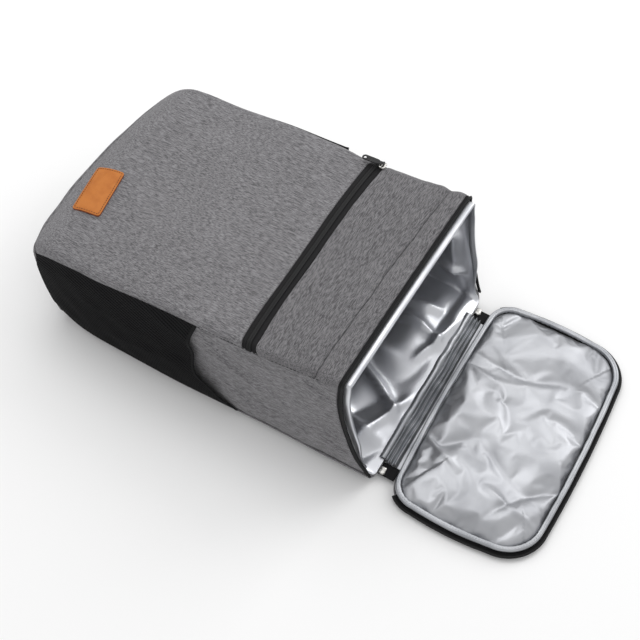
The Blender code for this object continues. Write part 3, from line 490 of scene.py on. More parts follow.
class Finishes:
    """The materials that the pieces share, each made once."""

    def __init__(self) -> None:
        """Makes the materials."""
        self.melange_along = Melange(Grain.ALONG).material()
        # The across melange has its flecks running across and is a darker copy of the along one: its darker
        # tone is painted shade.
        self.melange_across_shaded = Melange(Grain.ACROSS, (0.068, 0.066, 0.070),
                                      (0.205, 0.200, 0.208)).material()
        self.mesh = PocketMesh().material()
        self.tape = Tape().material()
        self.hem = Tape("pocket_hem", (0.0050, 0.0050, 0.0054), (0.013, 0.013, 0.014), 0.0009,
                        0.7).material()
        self.strap = Tape("strap_cloth", (0.012, 0.012, 0.013), (0.028, 0.028, 0.030), 0.0016,
                          0.75).material()
        self.coil = Cast("zip_coil", (0.0042, 0.0042, 0.0045), (0.016, 0.016, 0.017), 0.0, 0.5).material()
        self.foil = Foil().material()
        self.tub_foil = Foil("tub_foil", (0.66, 0.67, 0.70), (0.52, 0.53, 0.56), 0.88, 0.27).material()
        self.rim_foil = Foil("rim_foil", (0.42, 0.43, 0.45), (0.30, 0.31, 0.33), 0.80, 0.30,
                             0.0014).material()
        self.leather = Leather().material()
        self.leather_edge = Leather("leather_edge", (0.30, 0.085, 0.035), (0.16, 0.040, 0.016),
                                    0.0005).material()
        self.patch_thread = Thread("patch_thread", (0.060, 0.014, 0.007)).material()
        self.grey_thread = Thread("grey_thread", (0.30, 0.30, 0.31)).material()
        self.black_thread = Thread("black_thread", (0.010, 0.010, 0.011)).material()
        self.metal = Cast("metal", (0.50, 0.49, 0.47), (0.72, 0.71, 0.69), 1.0, 0.20).material()
        self.enamel = Cast("enamel", (0.010, 0.010, 0.011), (0.09, 0.09, 0.09), 0.0, 0.22).material()
        self.plastic = Cast("plastic", (0.013, 0.013, 0.014), (0.04, 0.04, 0.04), 0.0, 0.42).material()


# Mesh tools


def smooth_step(low: float, high: float, value: np.ndarray) -> np.ndarray:
    """A smooth rise from 0 at low to 1 at high."""
    share = np.clip((value - low) / (high - low), 0.0, 1.0)
    return share * share * (3 - 2 * share)


def hump(place: np.ndarray, middle: float, half: float) -> np.ndarray:
    """A soft bell, 1 at its middle."""
    return np.exp(-(((place - middle) / half) ** 2))


def roll_drop(distance: np.ndarray, radius: float) -> np.ndarray:
    """How far a surface drops at a distance from its rolled edge."""
    short = np.clip(1 - distance / radius, 0.0, 1.0)
    return radius * (1 - np.sqrt(1 - short * short))


def edged_stops(count: int, length: float, edge: float) -> np.ndarray:
    """Stops from 0 to 1, with some more within the rolled edges.

    Args:
        count: how many even steps there are.
        length: the whole length in metres.
        edge: the rolled edge's radius in metres.

    Returns:
        The stops in order.
    """
    near = np.array((0.0, 0.08, 0.25, 0.55, 1.0)) * edge / length
    middle = np.linspace(near[-1], 1 - near[-1], count + 1)[1:-1]
    return np.concatenate([near, middle, 1 - near[::-1]])


@dataclass(frozen=True)
class Waves:
    """Smooth seeded swells over a surface, the same in each run."""

    seed: int
    height: float
    length: float
    count: int = 9

    def at(self, u: np.ndarray, v: np.ndarray) -> np.ndarray:
        """The swell at places given in metres."""
        chance = np.random.default_rng(self.seed)
        total = np.zeros(np.broadcast(u, v).shape)
        for _ in range(self.count):
            angle, phase = chance.uniform(0, TAU), chance.uniform(0, TAU)
            share = chance.uniform(0.6, 1.7)
            run = u * math.cos(angle) + v * math.sin(angle)
            total = total + np.sin(TAU * run / (self.length * share) + phase)
        return self.height * total / math.sqrt(self.count)


@dataclass(frozen=True)
class Crease:
    """A crease on a surface: where it runs from and to, in metres, its half width and its rise."""

    start: tuple[float, float]
    end: tuple[float, float]
    half: float
    rise: float
    bend: float = 0.0

    def at(self, u: np.ndarray, v: np.ndarray) -> np.ndarray:
        """The crease's rise at places given in metres."""
        start, end = np.array(self.start), np.array(self.end)
        length = float(np.hypot(*(end - start)))
        forward = (end - start) / length
        along = ((u - start[0]) * forward[0] + (v - start[1]) * forward[1]) / length
        off = -(u - start[0]) * forward[1] + (v - start[1]) * forward[0]
        off = off - self.bend * 4 * along * (1 - along)
        ends = smooth_step(-0.12, 0.25, along) * smooth_step(-0.12, 0.25, 1 - along)
        return self.rise * ends / (1 + (off / self.half) ** 2) ** 1.5


def grid_quads(rows: int, columns: int, wrap: bool = False, start: int = 0) -> np.ndarray:
    """The faces of a grid of points.

    Args:
        rows: how many rows of points.
        columns: how many points in a row.
        wrap: whether each row closes round.
        start: the first point's number.

    Returns:
        Four point numbers for each face.
    """
    i = np.arange(rows - 1)[:, None]
    j = np.arange(columns if wrap else columns - 1)[None, :]
    k = (j + 1) % columns
    corners = [i * columns + j, (i + 1) * columns + j, (i + 1) * columns + k, i * columns + k]
    return np.stack(np.broadcast_arrays(*corners), -1).reshape(-1, 4) + start


def border_loop(rows: int, columns: int) -> list[int]:
    """The point numbers round a grid's edge."""
    loop = list(range(columns - 1))
    loop += [i * columns + columns - 1 for i in range(rows - 1)]
    loop += [(rows - 1) * columns + j for j in range(columns - 1, 0, -1)]
    return loop + [i * columns for i in range(rows - 1, 0, -1)]


def unit(vectors: np.ndarray) -> np.ndarray:
    """Vectors brought to a length of 1."""
    return vectors / np.linalg.norm(vectors, axis=-1, keepdims=True)


def lengths(path: np.ndarray) -> np.ndarray:
    """The length along a path at each of its points."""
    return np.concatenate([[0.0], np.cumsum(np.linalg.norm(np.diff(path, axis=0), axis=1))])


def read_path(path: np.ndarray, run: np.ndarray, at: np.ndarray) -> np.ndarray:
    """A path's points at other lengths along it."""
    return np.stack([np.interp(at, run, column) for column in path.T], -1)


def resample(grid: np.ndarray, run: np.ndarray, at: np.ndarray) -> np.ndarray:
    """A grid's rows read again at other lengths along them."""
    return np.stack([read_path(row, run, at) for row in grid])


@dataclass
class Draft:
    """A mesh in the making: points in the bag's coordinates, faces, and cloth coordinates."""

    points: np.ndarray
    faces: list
    cloth: Optional[np.ndarray] = None


def shell_draft(outer: np.ndarray, inner: np.ndarray, wrap: bool = False,
                cloth: Optional[np.ndarray] = None) -> Draft:
    """A closed wall between two grids of points.

    Args:
        outer: the outer skin, rows by columns by 3.
        inner: the inner skin, of the same shape.
        wrap: whether each row closes round.
        cloth: the outer skin's cloth coordinates, rows by columns by 2.

    Returns:
        The wall.
    """
    rows, columns = outer.shape[:2]
    size = rows * columns
    under = grid_quads(rows, columns, wrap, size)[:, ::-1]
    faces = np.concatenate([grid_quads(rows, columns, wrap), under])
    if wrap:
        first = np.arange(columns)
        last = first + (rows - 1) * columns
        joined = [np.stack([line, np.roll(line, -1), np.roll(line, -1) + size, line + size], -1)
                  for line in (first, last)]
        edges = np.concatenate(joined)
    else:
        loop = np.array(border_loop(rows, columns))
        after = np.roll(loop, -1)
        edges = np.stack([loop, after, after + size, loop + size], -1)
    points = np.concatenate([outer.reshape(-1, 3), inner.reshape(-1, 3)])
    both = None if cloth is None else np.concatenate([cloth.reshape(-1, 2)] * 2)
    return Draft(points, np.concatenate([faces, edges]).tolist(), both)


def tube_draft(rings: np.ndarray, closed: bool, cloth: Optional[np.ndarray] = None) -> Draft:
    """A skin over rings of points.

    Args:
        rings: rings by points by 3.
        closed: whether the last ring joins the first; if not, both ends are capped.
        cloth: cloth coordinates, rings by points by 2.

    Returns:
        The closed skin.
    """
    count, around = rings.shape[:2]
    faces = grid_quads(count, around, wrap=True).tolist()
    last = (count - 1) * around
    if closed:
        faces += [[last + j, j, (j + 1) % around, last + (j + 1) % around] for j in range(around)]
    else:
        faces += [list(range(around)), list(range(last, last + around))[::-1]]
    return Draft(rings.reshape(-1, 3), faces, None if cloth is None else cloth.reshape(-1, 2))


def lay_cloth(points: np.ndarray) -> np.ndarray:
    """Cloth coordinates of a grid, measured along its columns in x and its rows in y."""
    along = np.linalg.norm(np.diff(points, axis=1), axis=2)
    across = np.linalg.norm(np.diff(points, axis=0), axis=2)
    x = np.concatenate([np.zeros((points.shape[0], 1)), np.cumsum(along, axis=1)], axis=1)
    y = np.concatenate([np.zeros((1, points.shape[1])), np.cumsum(across, axis=0)], axis=0)
    middle = points.shape[0] // 2
    return np.stack([np.broadcast_to(x[middle], x.shape), y], -1)


def make_piece(name: str, draft: Draft, material: bpy.types.Material,
               replaces: Sequence[str] = (), body: str = "bag", sharp: float = 50.0) -> bpy.types.Object:
    """Turns a draft into an object that rides on a body.

    Args:
        name: the piece's name.
        draft: its points and faces, in the bag's coordinates.
        material: its finish.
        replaces: the CAD nodes that it stands for.
        body: the body that it rides on.
        sharp: the angle in degrees over which an edge is sharp.

    Returns:
        The object.
    """
    mesh = bpy.data.meshes.new(name)
    mesh.from_pydata((draft.points + BAG_ORIGIN).tolist(), [], draft.faces)
    if draft.cloth is not None:
        layer = mesh.uv_layers.new(name=CLOTH_MAP)
        corners = np.empty(len(mesh.loops), dtype=np.int32)
        mesh.loops.foreach_get("vertex_index", corners)
        layer.data.foreach_set("uv", draft.cloth[corners].astype(np.float32).ravel())
    work = bmesh.new()
    work.from_mesh(mesh)
    bmesh.ops.recalc_face_normals(work, faces=work.faces)
    work.to_mesh(mesh)
    work.free()
    mesh.shade_smooth()
    mesh.set_sharp_from_angle(angle=math.radians(sharp))
    mesh.materials.append(material)
    piece = bpy.data.objects.new(name, mesh)
    bpy.context.scene.collection.objects.link(piece)
    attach(piece, body)
    if replaces:
        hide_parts(*replaces)
    return piece


def stitch_draft(path: np.ndarray, pitch: float, radius: float, lift: np.ndarray,
                 fill: float = 0.62) -> Draft:
    """A row of stitches, each a small capsule.

    Args:
        path: the seam's points, in order.
        pitch: the length from stitch to stitch.
        radius: the thread's radius.
        lift: the way up from the cloth, one vector or one for each point of the path.
        fill: the share of the pitch that a stitch takes.

    Returns:
        All stitches in one mesh.
    """
    run = lengths(path)
    ups = np.broadcast_to(lift, path.shape)
    starts = np.arange(0.0, run[-1] - pitch * fill, pitch)
    shares = np.array((0.0, 0.14, 0.5, 0.86, 1.0))
    widths = np.array((0.15, 0.85, 1.0, 0.85, 0.15))
    sides = 6
    turns = np.arange(sides) * TAU / sides
    points, faces = [], []
    for index, start in enumerate(starts):
        at = start + shares * pitch * fill
        centre, up = read_path(path, run, at), read_path(ups, run, at)
        side = unit(np.cross(unit(np.gradient(centre, axis=0)), up))
        arch = up * (radius * 0.55 * np.sin(math.pi * shares))[:, None]
        ring = (centre + arch)[:, None] + radius * widths[:, None, None] * (
            side[:, None] * np.cos(turns)[None, :, None] + up[:, None] * np.sin(turns)[None, :, None])
        base = index * len(shares) * sides
        points.append(ring.reshape(-1, 3))
        faces += (grid_quads(len(shares), sides, wrap=True) + base).tolist()
        last = base + (len(shares) - 1) * sides
        faces += [list(range(base, base + sides)), list(range(last, last + sides))[::-1]]
    return Draft(np.concatenate(points), faces)


@dataclass(frozen=True)
class ClothRun:
    """A short cloth simulation of a piece held at some of its points."""

    growth: float
    pressure: float
    gravity: float
    frames: int = 22
    bending: float = 0.35
    tension: float = 22.0
    mass: float = 0.25
    air_damping: float = 3.0

    def settle(self, points: np.ndarray, faces: list, held: np.ndarray) -> np.ndarray:
        """Runs the simulation.

        Args:
            points: where the cloth starts.
            faces: its faces.
            held: True for each point that stays where it is.

        Returns:
            Where the points end.
        """
        mesh = bpy.data.meshes.new("cloth_run")
        mesh.from_pydata(points.tolist(), [], faces)
        sheet = bpy.data.objects.new("cloth_run", mesh)
        bpy.context.scene.collection.objects.link(sheet)
        pins = sheet.vertex_groups.new(name="held")
        pins.add(np.flatnonzero(held).tolist(), 1.0, "REPLACE")
        cloth = sheet.modifiers.new("cloth", "CLOTH")
        settings = cloth.settings
        settings.vertex_group_mass = "held"
        settings.quality = 5
        settings.mass = self.mass
        settings.air_damping = self.air_damping
        settings.tension_stiffness = self.tension
        settings.compression_stiffness = self.tension
        settings.shear_stiffness = self.tension * 0.5
        settings.bending_stiffness = self.bending
        settings.shrink_min = -self.growth
        settings.use_pressure = self.pressure != 0.0
        settings.uniform_pressure_force = self.pressure
        settings.effector_weights.gravity = self.gravity
        cloth.collision_settings.use_collision = False
        cloth.collision_settings.use_self_collision = False
        scene = bpy.context.scene
        for number in range(1, self.frames + 1):
            scene.frame_set(number)
        settled = sheet.evaluated_get(bpy.context.evaluated_depsgraph_get()).data
        result = np.empty(len(settled.vertices) * 3)
        settled.vertices.foreach_get("co", result)
        scene.frame_set(1)
        bpy.data.objects.remove(sheet)
        bpy.data.meshes.remove(mesh)
        return result.reshape(-1, 3)


# The bag's tube


class Wall(Enum):
    """The four walls of the bag's tube."""

    NEAR = "near"
    FRONT = "front"
    FAR = "far"
    BACK = "back"

    @property
    def side(self) -> int:
        """-1 for the near wall and 1 for the far one."""
        return -1 if self is Wall.NEAR else 1


@dataclass(frozen=True)
class Section:
    """A station of the tube: its place along the front, and its sizes as shares of the bag's."""

    at: float
    height: float
    width: float
    foot: float
    flare: float


@dataclass(frozen=True)
class Fold:
    """A soft dent of a side wall: place and half sizes as shares, depth as a share, and slope."""

    along: float
    up: float
    long: float
    tall: float
    depth: float
    lean: float


@dataclass(frozen=True)
class TableRow:
    """A row of a table: its key and one or two values."""

    key: float
    first: float
    second: float = 0.0


def read_table(rows: Sequence, key: str, column: str, at: np.ndarray) -> np.ndarray:
    """A smooth curve through one column of a table.

    Args:
        rows: the table.
        key: the column that the values are read along.
        column: the column that is read.
        at: where it is read.

    Returns:
        The values.
    """
    at = np.asarray(at, dtype=float)
    keys = np.array([getattr(row, key) for row in rows])
    values = np.array([getattr(row, column) for row in rows])
    before = np.concatenate([[0], np.arange(len(keys) - 1)])
    after = np.concatenate([np.arange(1, len(keys)), [len(keys) - 1]])
    slopes = (values[after] - values[before]) / (keys[after] - keys[before])
    index = np.clip(np.searchsorted(keys, at, side="right") - 1, 0, len(keys) - 2)
    span = keys[index + 1] - keys[index]
    share = (at - keys[index]) / span
    curve = (values[index] * (2 * share**3 - 3 * share**2 + 1)
             + slopes[index] * span * (share**3 - 2 * share**2 + share)
             + values[index + 1] * (3 * share**2 - 2 * share**3)
             + slopes[index + 1] * span * (share**3 - share**2))
    low = values[0] + slopes[0] * (at - keys[0]) * 0.5
    return np.where(at <= keys[0], low, np.where(at >= keys[-1], values[-1], curve))


@dataclass(frozen=True)
class BagTube:
    """The bag's analytic tube, as in the part's source, worked out for many points at once."""

    front_length: float = 0.388
    front_start: float = -0.004
    back_length: float = 0.414
    back_start: float = 0.018
    half_width: float = 0.145
    mouth_height: float = 0.172
    edge_radius: float = 0.008
    foot: float = 0.010
    foot_flare: float = 0.003
    far_rise: float = 0.0045
    crown: float = 0.003
    mouth_skew: float = 0.004
    bottom_bow: float = 0.0125
    bottom_skew: float = 0.0055
    side_bulge: float = 0.003
    fold_depth: float = 0.006
    back_level: float = 0.0055
    arc_share: float = 0.12
    shoulder_rise: float = 0.0060
    sections: tuple[Section, ...] = (
        Section(0.00, 0.690, 0.965, 0.80, 0.00),
        Section(0.03, 0.738, 0.982, 0.70, 0.30),
        Section(0.07, 0.778, 0.995, 0.60, 0.80),
        Section(0.13, 0.799, 1.004, 0.50, 1.00),
        Section(0.25, 0.823, 1.007, 0.50, 1.00),
        Section(0.40, 0.872, 1.007, 0.50, 0.90),
        Section(0.55, 0.893, 1.002, 0.60, 0.40),
        Section(0.70, 0.915, 0.998, 0.80, 0.00),
        Section(0.85, 0.966, 0.997, 1.00, 0.10),
        Section(1.00, 1.030, 0.997, 1.30, 0.00),
    )
    near_folds: tuple[Fold, ...] = (
        Fold(0.52, 0.45, 0.13, 0.30, 1.00, 0.0),
        Fold(0.66, 0.62, 0.22, 0.07, -0.50, -1.1),
        Fold(0.80, 0.30, 0.12, 0.12, 0.42, -0.8),
        Fold(0.93, 0.42, 0.05, 0.10, 0.33, 0.0),
    )
    far_folds: tuple[Fold, ...] = (
        Fold(0.52, 0.45, 0.13, 0.30, 0.92, 0.0),
        Fold(0.75, 0.35, 0.16, 0.12, 0.42, 0.6),
        Fold(0.75, 0.78, 0.30, 0.22, -0.60, 0.0),
    )

    def column(self, name: str, along: np.ndarray) -> np.ndarray:
        """One column of the sections, read along the bag."""
        return read_table(self.sections, "at", name, along)

    def top(self, along: np.ndarray, across: np.ndarray) -> np.ndarray:
        """The front's height over the floor, across from -1 near to 1 far."""
        middle = self.mouth_height * self.column("height", along)
        return middle + self.far_rise * across + self.crown * (1 - across * across)

    def shoulder(self, along: np.ndarray) -> np.ndarray:
        """How far the padded front stands over its base shape beside the bottom seam."""
        return self.shoulder_rise * (1 - smooth_step(0.02, 0.14, along))

    def width(self, along: np.ndarray) -> np.ndarray:
        """Half the bag's width."""
        return self.half_width * self.column("width", along)

    def lengthwise(self, along: np.ndarray, up: np.ndarray, across: np.ndarray) -> np.ndarray:
        """x of a point: sections lean back towards the mouth and the bottom bows out."""
        front = self.front_start + along * self.front_length
        back = self.back_start + along * self.back_length - self.mouth_skew * across * along
        x = front + (back - front) * (1 - up) ** 2
        bow = self.bottom_bow * (1 - across * across) - self.bottom_skew * across
        return x - bow * np.maximum(1 - along, 0) ** 8 * up * (2 - up)

    def side_offset(self, wall: Wall, along: np.ndarray, up: np.ndarray) -> np.ndarray:
        """How far a side stands out from the straight line between foot and seam."""
        total = np.zeros(np.broadcast(along, up).shape)
        for fold in self.near_folds if wall is Wall.NEAR else self.far_folds:
            dx = along - fold.along
            du = up - fold.up - fold.lean * dx
            bell = np.exp(-((dx / fold.long) ** 2) - (du / fold.tall) ** 2)
            total = total + self.fold_depth * fold.depth * bell
        window = smooth_step(0, 0.2, up) * smooth_step(0, 0.2, 1 - up)
        return window * (self.side_bulge - total)

    def section(self, wall: Wall, along: np.ndarray, q: np.ndarray) -> np.ndarray:
        """Points of the outer tube.

        Args:
            wall: the wall.
            along: shares of the bag's length.
            q: shares across the front or back, or up a side.

        Returns:
            The points, in the bag's coordinates.
        """
        along, q = np.broadcast_arrays(np.asarray(along, float), np.asarray(q, float))
        width, foot = self.width(along), self.foot * self.column("foot", along)
        flare = self.foot_flare * self.column("flare", along)
        if wall in (Wall.NEAR, Wall.FAR):
            low = self.back_level + foot
            across = np.full(along.shape, float(wall.side))
            high = self.top(along, across) - self.edge_radius
            z = low + (high - low) * q
            y = wall.side * (width + flare * (1 - q) ** 2 + self.side_offset(wall, along, q))
        else:
            radius = np.full(along.shape, self.edge_radius) if wall is Wall.FRONT else foot
            reach = width if wall is Wall.FRONT else width + flare
            into = np.minimum(q, 1 - q) / self.arc_share
            angle = np.clip(into, 0, 1) * math.pi / 2
            arc = np.where(q < 0.5, -1.0, 1.0) * (reach - radius + radius * np.cos(angle))
            flat = (reach - radius) * (q - 0.5) / (0.5 - self.arc_share)
            y = np.where(into < 1, arc, flat)
            drop = np.where(into < 1, radius * (1 - np.sin(angle)), 0.0)
            across = y / width
            z = self.top(along, across) - drop if wall is Wall.FRONT else self.back_level + drop
        up = (z - self.back_level) / (self.top(along, across) - self.back_level)
        return np.stack([self.lengthwise(along, up, across), y, z], -1)

    def outward(self, wall: Wall, along: np.ndarray, q: np.ndarray, tiny: float = 1e-4) -> np.ndarray:
        """The outward normals at places of the tube."""
        along, q = np.broadcast_arrays(np.asarray(along, float), np.asarray(q, float))
        here = self.section(wall, along, q)
        ahead = self.section(wall, along + tiny, q) - self.section(wall, along - tiny, q)
        low, high = np.maximum(q - tiny, 0), np.minimum(q + tiny, 1)
        aside = self.section(wall, along, high) - self.section(wall, along, low)
        normal = unit(np.cross(ahead, aside))
        middle = here.copy()
        middle[..., 1] = 0.0
        middle[..., 2] = self.back_level + self.mouth_height * 0.35
        facing = np.sum(normal * (here - middle), -1, keepdims=True)
        return np.where(facing < 0, -normal, normal)

    def point(self, wall: Wall, along: np.ndarray, q: np.ndarray, depth: np.ndarray) -> np.ndarray:
        """Points at a depth under the tube's outer surface."""
        q = np.clip(q, 0.0, 1.0)
        depth = np.asarray(depth, float)[..., None]
        return self.section(wall, along, q) - self.outward(wall, along, q) * depth

    def front_stops(self, count: int, per_arc: int = 6) -> np.ndarray:
        """Stops across the front or back: some along each rounded edge and even ones between."""
        edge = np.linspace(0.0, self.arc_share, per_arc + 1)[:-1]
        middle = np.linspace(self.arc_share, 1 - self.arc_share, count + 1)
        return np.concatenate([edge, middle, 1 - edge[::-1]])


@dataclass
class PanelPlan:
    """A panel of the tube: its wall, its two seams across, its depths, relief and mesh density."""

    name: str
    node: str
    wall: Wall
    start: SeamLine
    end: SeamLine
    material: bpy.types.Material
    relief: Relief
    depth: float = 0.0
    thickness: float = 0.0045
    rows: int = 60
    columns: int = 90
    roll: float = 0.0016
    edge_q: float = 0.0015
    side_height: float = 0.13

    def build(self, tube: BagTube) -> bpy.types.Object:
        """Builds the panel as one closed padded wall.

        Args:
            tube: the bag's tube.

        Returns:
            The panel.
        """
        on_side = self.wall in (Wall.NEAR, Wall.FAR)
        if on_side:
            q = edged_stops(self.columns, self.side_height, self.roll)
            q = self.edge_q + (1 - 2 * self.edge_q) * q
        else:
            q = tube.front_stops(self.columns)
        low, high = self.start(q), self.end(q)
        length = float(np.mean(high - low)) * tube.front_length
        rows = edged_stops(self.rows, length, self.roll)[:, None]
        along = low[None, :] + (high - low)[None, :] * rows
        across = np.broadcast_to(q[None, :], along.shape)
        drop = roll_drop(np.minimum(rows, 1 - rows) * length, self.roll)
        if on_side:
            from_seam = np.minimum(across, 1 - across) * self.side_height
            drop = np.maximum(drop, roll_drop(from_seam, self.roll))
        outer = tube.point(self.wall, along, across, self.depth + drop - self.relief(along, across))
        inner = tube.point(self.wall, along, across, np.full(along.shape, self.thickness))
        piece = make_piece(self.name, shell_draft(outer, inner), self.material, [self.node])
        return piece


def level(value: float) -> SeamLine:
    """A straight seam across the tube."""
    return lambda q: np.full(np.shape(q), value)


# The pocket's zip


@dataclass
class PocketZip:
    """The zip across the front: its tape, its coil, the slider at its far end and the pull."""

    tube: BagTube
    finishes: Finishes
    from_bottom: float = 0.283
    tape_width: float = 0.0145
    tape_thickness: float = 0.0016
    tape_recess: float = 0.0012
    ridge: float = 0.0004
    coil_width: float = 0.005
    coil_height: float = 0.0012
    tooth: float = 0.0017
    clearance: float = 0.0003
    slider_height: float = 0.0026
    pull_length: float = 0.027
    pull_width: float = 0.0075
    pull_thickness: float = 0.0016
    pull_neck: float = 0.0046
    pull_barrel: float = 0.0017
    pull_droop: float = math.radians(7)
    hole_radius: float = 0.0018
    pull_neckline: tuple[TableRow, ...] = (
        TableRow(-0.0130, -0.97),
        TableRow(-0.0090, -0.94),
        TableRow(-0.0066, -0.86),
        TableRow(-0.0050, -0.70),
        TableRow(-0.0038, -0.62),
        TableRow(-0.0006, -0.61),
    )
    edges: tuple[TableRow, ...] = (
        TableRow(-1.00, -0.22, 0.05),
        TableRow(-0.85, -0.38, -0.22),
        TableRow(-0.60, -0.58, -0.41),
        TableRow(-0.25, -0.60, -0.53),
        TableRow(0.00, -0.65, -0.55),
        TableRow(0.30, -0.76, -0.61),
        TableRow(0.55, -0.76, -0.59),
        TableRow(0.75, -0.66, -0.42),
        TableRow(0.87, -0.36, -0.20),
        TableRow(0.95, 0.00, 0.05),
        TableRow(1.00, 0.25, 0.45),
    )

    def _share(self, x: float) -> float:
        """A length from the bottom as a share of the front's."""
        return x / self.tube.front_length

    def low(self, q: np.ndarray) -> np.ndarray:
        """The tape's edge towards the bottom."""
        offset = read_table(self.edges, "key", "first", 2 * q - 1)
        return self._share(self.from_bottom - self.tape_width / 2 + self.tape_width * offset)

    def high(self, q: np.ndarray) -> np.ndarray:
        """The tape's edge towards the mouth."""
        offset = read_table(self.edges, "key", "second", 2 * q - 1)
        return self._share(self.from_bottom + self.tape_width / 2 + self.tape_width * offset)

    def build_tape(self) -> bpy.types.Object:
        """The woven tape, with a stitched ridge along each half."""
        q = self.tube.front_stops(120, per_arc=8)
        rows = np.linspace(0, 1, 25)[:, None]
        low, high = self.low(q), self.high(q)
        along = low + (high - low) * rows
        ridges = hump(rows, 0.24, 0.035) + hump(rows, 0.76, 0.035)
        relief = self.ridge * ridges - self.ridge * hump(rows, 0.5, 0.03)
        relief = relief + Waves(31, 0.00012, 0.02).at(along * self.tube.front_length, q * 0.29)
        spread, depth = np.broadcast_to(q, along.shape), self.tape_recess + self.tape_thickness
        outer = self.tube.point(Wall.FRONT, along, spread, self.tape_recess - relief)
        inner = self.tube.point(Wall.FRONT, along, spread, np.full(along.shape, depth))
        draft = shell_draft(outer, inner, cloth=lay_cloth(outer))
        return make_piece("front_zip_tape_cloth", draft, self.finishes.tape, ["front_zip_tape"])

    def build_coil(self) -> bpy.types.Object:
        """The closed coil, two rows of teeth with a groove between them."""
        width = 2 * self.tube.half_width
        count = int(width / self.tooth) * 4
        q = np.linspace(0.004, 0.996, count)
        rows = np.linspace(0, 1, 13)[:, None]
        middle = (self.low(q) + self.high(q)) / 2
        along = middle + self._share(self.coil_width) * (rows - 0.5)
        teeth = 0.5 + 0.5 * np.sin(TAU * q * width / self.tooth + np.where(rows < 0.5, 0.0, math.pi))
        arch = np.sqrt(np.clip(1 - ((np.abs(rows - 0.5) - 0.25) / 0.26) ** 2, 0.0, 1.0))
        rise = self.coil_height * (0.25 + 0.55 * arch + 0.20 * teeth * arch)
        base = self.tape_recess - self.clearance
        spread = np.broadcast_to(q, along.shape)
        outer = self.tube.point(Wall.FRONT, along, spread, base - rise)
        inner = self.tube.point(Wall.FRONT, along, spread, np.full(along.shape, base))
        draft = shell_draft(outer, inner, cloth=lay_cloth(outer))
        return make_piece("front_zip_coil_teeth", draft, self.finishes.coil, ["front_zip_coil"])

    def build_slider(self) -> bpy.types.Object:
        """The metal slider with its bridge, in the space of its solid."""
        foot, size = solid_foot("front_zip_slider")
        draft = slider_draft(foot, size[1], size[0], self.slider_height)
        bridge = arch_draft(foot + (0, 0, 0.0022), 0.0037, float(size[2]) - 0.0029, 0.0007)
        return make_piece("front_zip_slider_cast", join_drafts([draft, bridge]), self.finishes.metal,
                          ["front_zip_slider"])

    def build_pull(self) -> bpy.types.Object:
        """The black pull: a flat tab with a hole at its tip and a barrel on the bridge."""
        joint = next(item for item in frame["joints"] if item["name"] == "zip_pull_flip")
        hinge = np.array(joint["pos_m"])
        half, neck, thick = self.pull_width / 2, self.pull_neck / 2, self.pull_thickness / 2
        tip = -self.pull_length + half
        angles = np.linspace(math.pi / 2, 3 * math.pi / 2, 25)
        outline = [(tip + half * math.cos(a), half * math.sin(a)) for a in angles]
        outline += [(row.key, half * row.first) for row in self.pull_neckline]
        outline += [(x, -y) for x, y in reversed(outline[25:])]
        outline = np.array(outline)
        turns = np.arctan2(outline[:, 1], outline[:, 0] - tip)
        hole = np.stack([tip + self.hole_radius * np.cos(turns), self.hole_radius * np.sin(turns)], -1)
        rings = []
        for level_share, inset in ((0.55, 0.0), (1.0, 0.00045)):
            rings.append(self._plate_ring(outline, hole, inset, thick * level_share))
        for inset, level_share in ((0.00035, 1.0), (0.0, 0.6)):
            wider = (tip, 0.0) + (hole - (tip, 0.0)) * (1 + inset / self.hole_radius)
            rings.append(np.column_stack([wider, np.full(len(hole), thick * level_share)]))
        mirrored = [ring * (1, 1, -1) for ring in reversed(rings)]
        plate = tube_draft(np.array(rings + mirrored), closed=True)
        barrel = rod_draft(np.array((0.0, -neck, 0.0)), np.array((0.0, neck, 0.0)), self.pull_barrel, 20)
        draft = join_drafts([plate, barrel])
        turn = np.array(Matrix.Rotation(-self.pull_droop, 3, "Y"))
        draft.points = draft.points @ turn.T + hinge - BAG_ORIGIN
        return make_piece("front_zip_pull_tab", draft, self.finishes.enamel, ["front_zip_pull"],
                          body="zip_pull", sharp=35)

    @staticmethod
    def _plate_ring(outline: np.ndarray, hole: np.ndarray, inset: float, z: float) -> np.ndarray:
        """The pull's outline drawn in a little, at a height."""
        flat = outline + unit(hole - outline) * inset
        return np.column_stack([flat, np.full(len(flat), z)])

    def build(self) -> list[bpy.types.Object]:
        """Builds the zip's pieces."""
        return [self.build_tape(), self.build_coil(), self.build_slider(), self.build_pull()]


def join_drafts(drafts: Sequence[Draft]) -> Draft:
    """Several drafts as one mesh."""
    points, faces, start = [], [], 0
    for draft in drafts:
        points.append(draft.points)
        faces += [[number + start for number in face] for face in draft.faces]
        start += len(draft.points)
    return Draft(np.concatenate(points), faces)


def solid_foot(name: str) -> tuple[np.ndarray, np.ndarray]:
    """The middle of a solid's foot, in the bag's space, and the solid's size."""
    low, high = (np.array(corner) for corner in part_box(name))
    foot = (low + high) / 2 - BAG_ORIGIN
    foot[2] = low[2]
    return foot, high - low


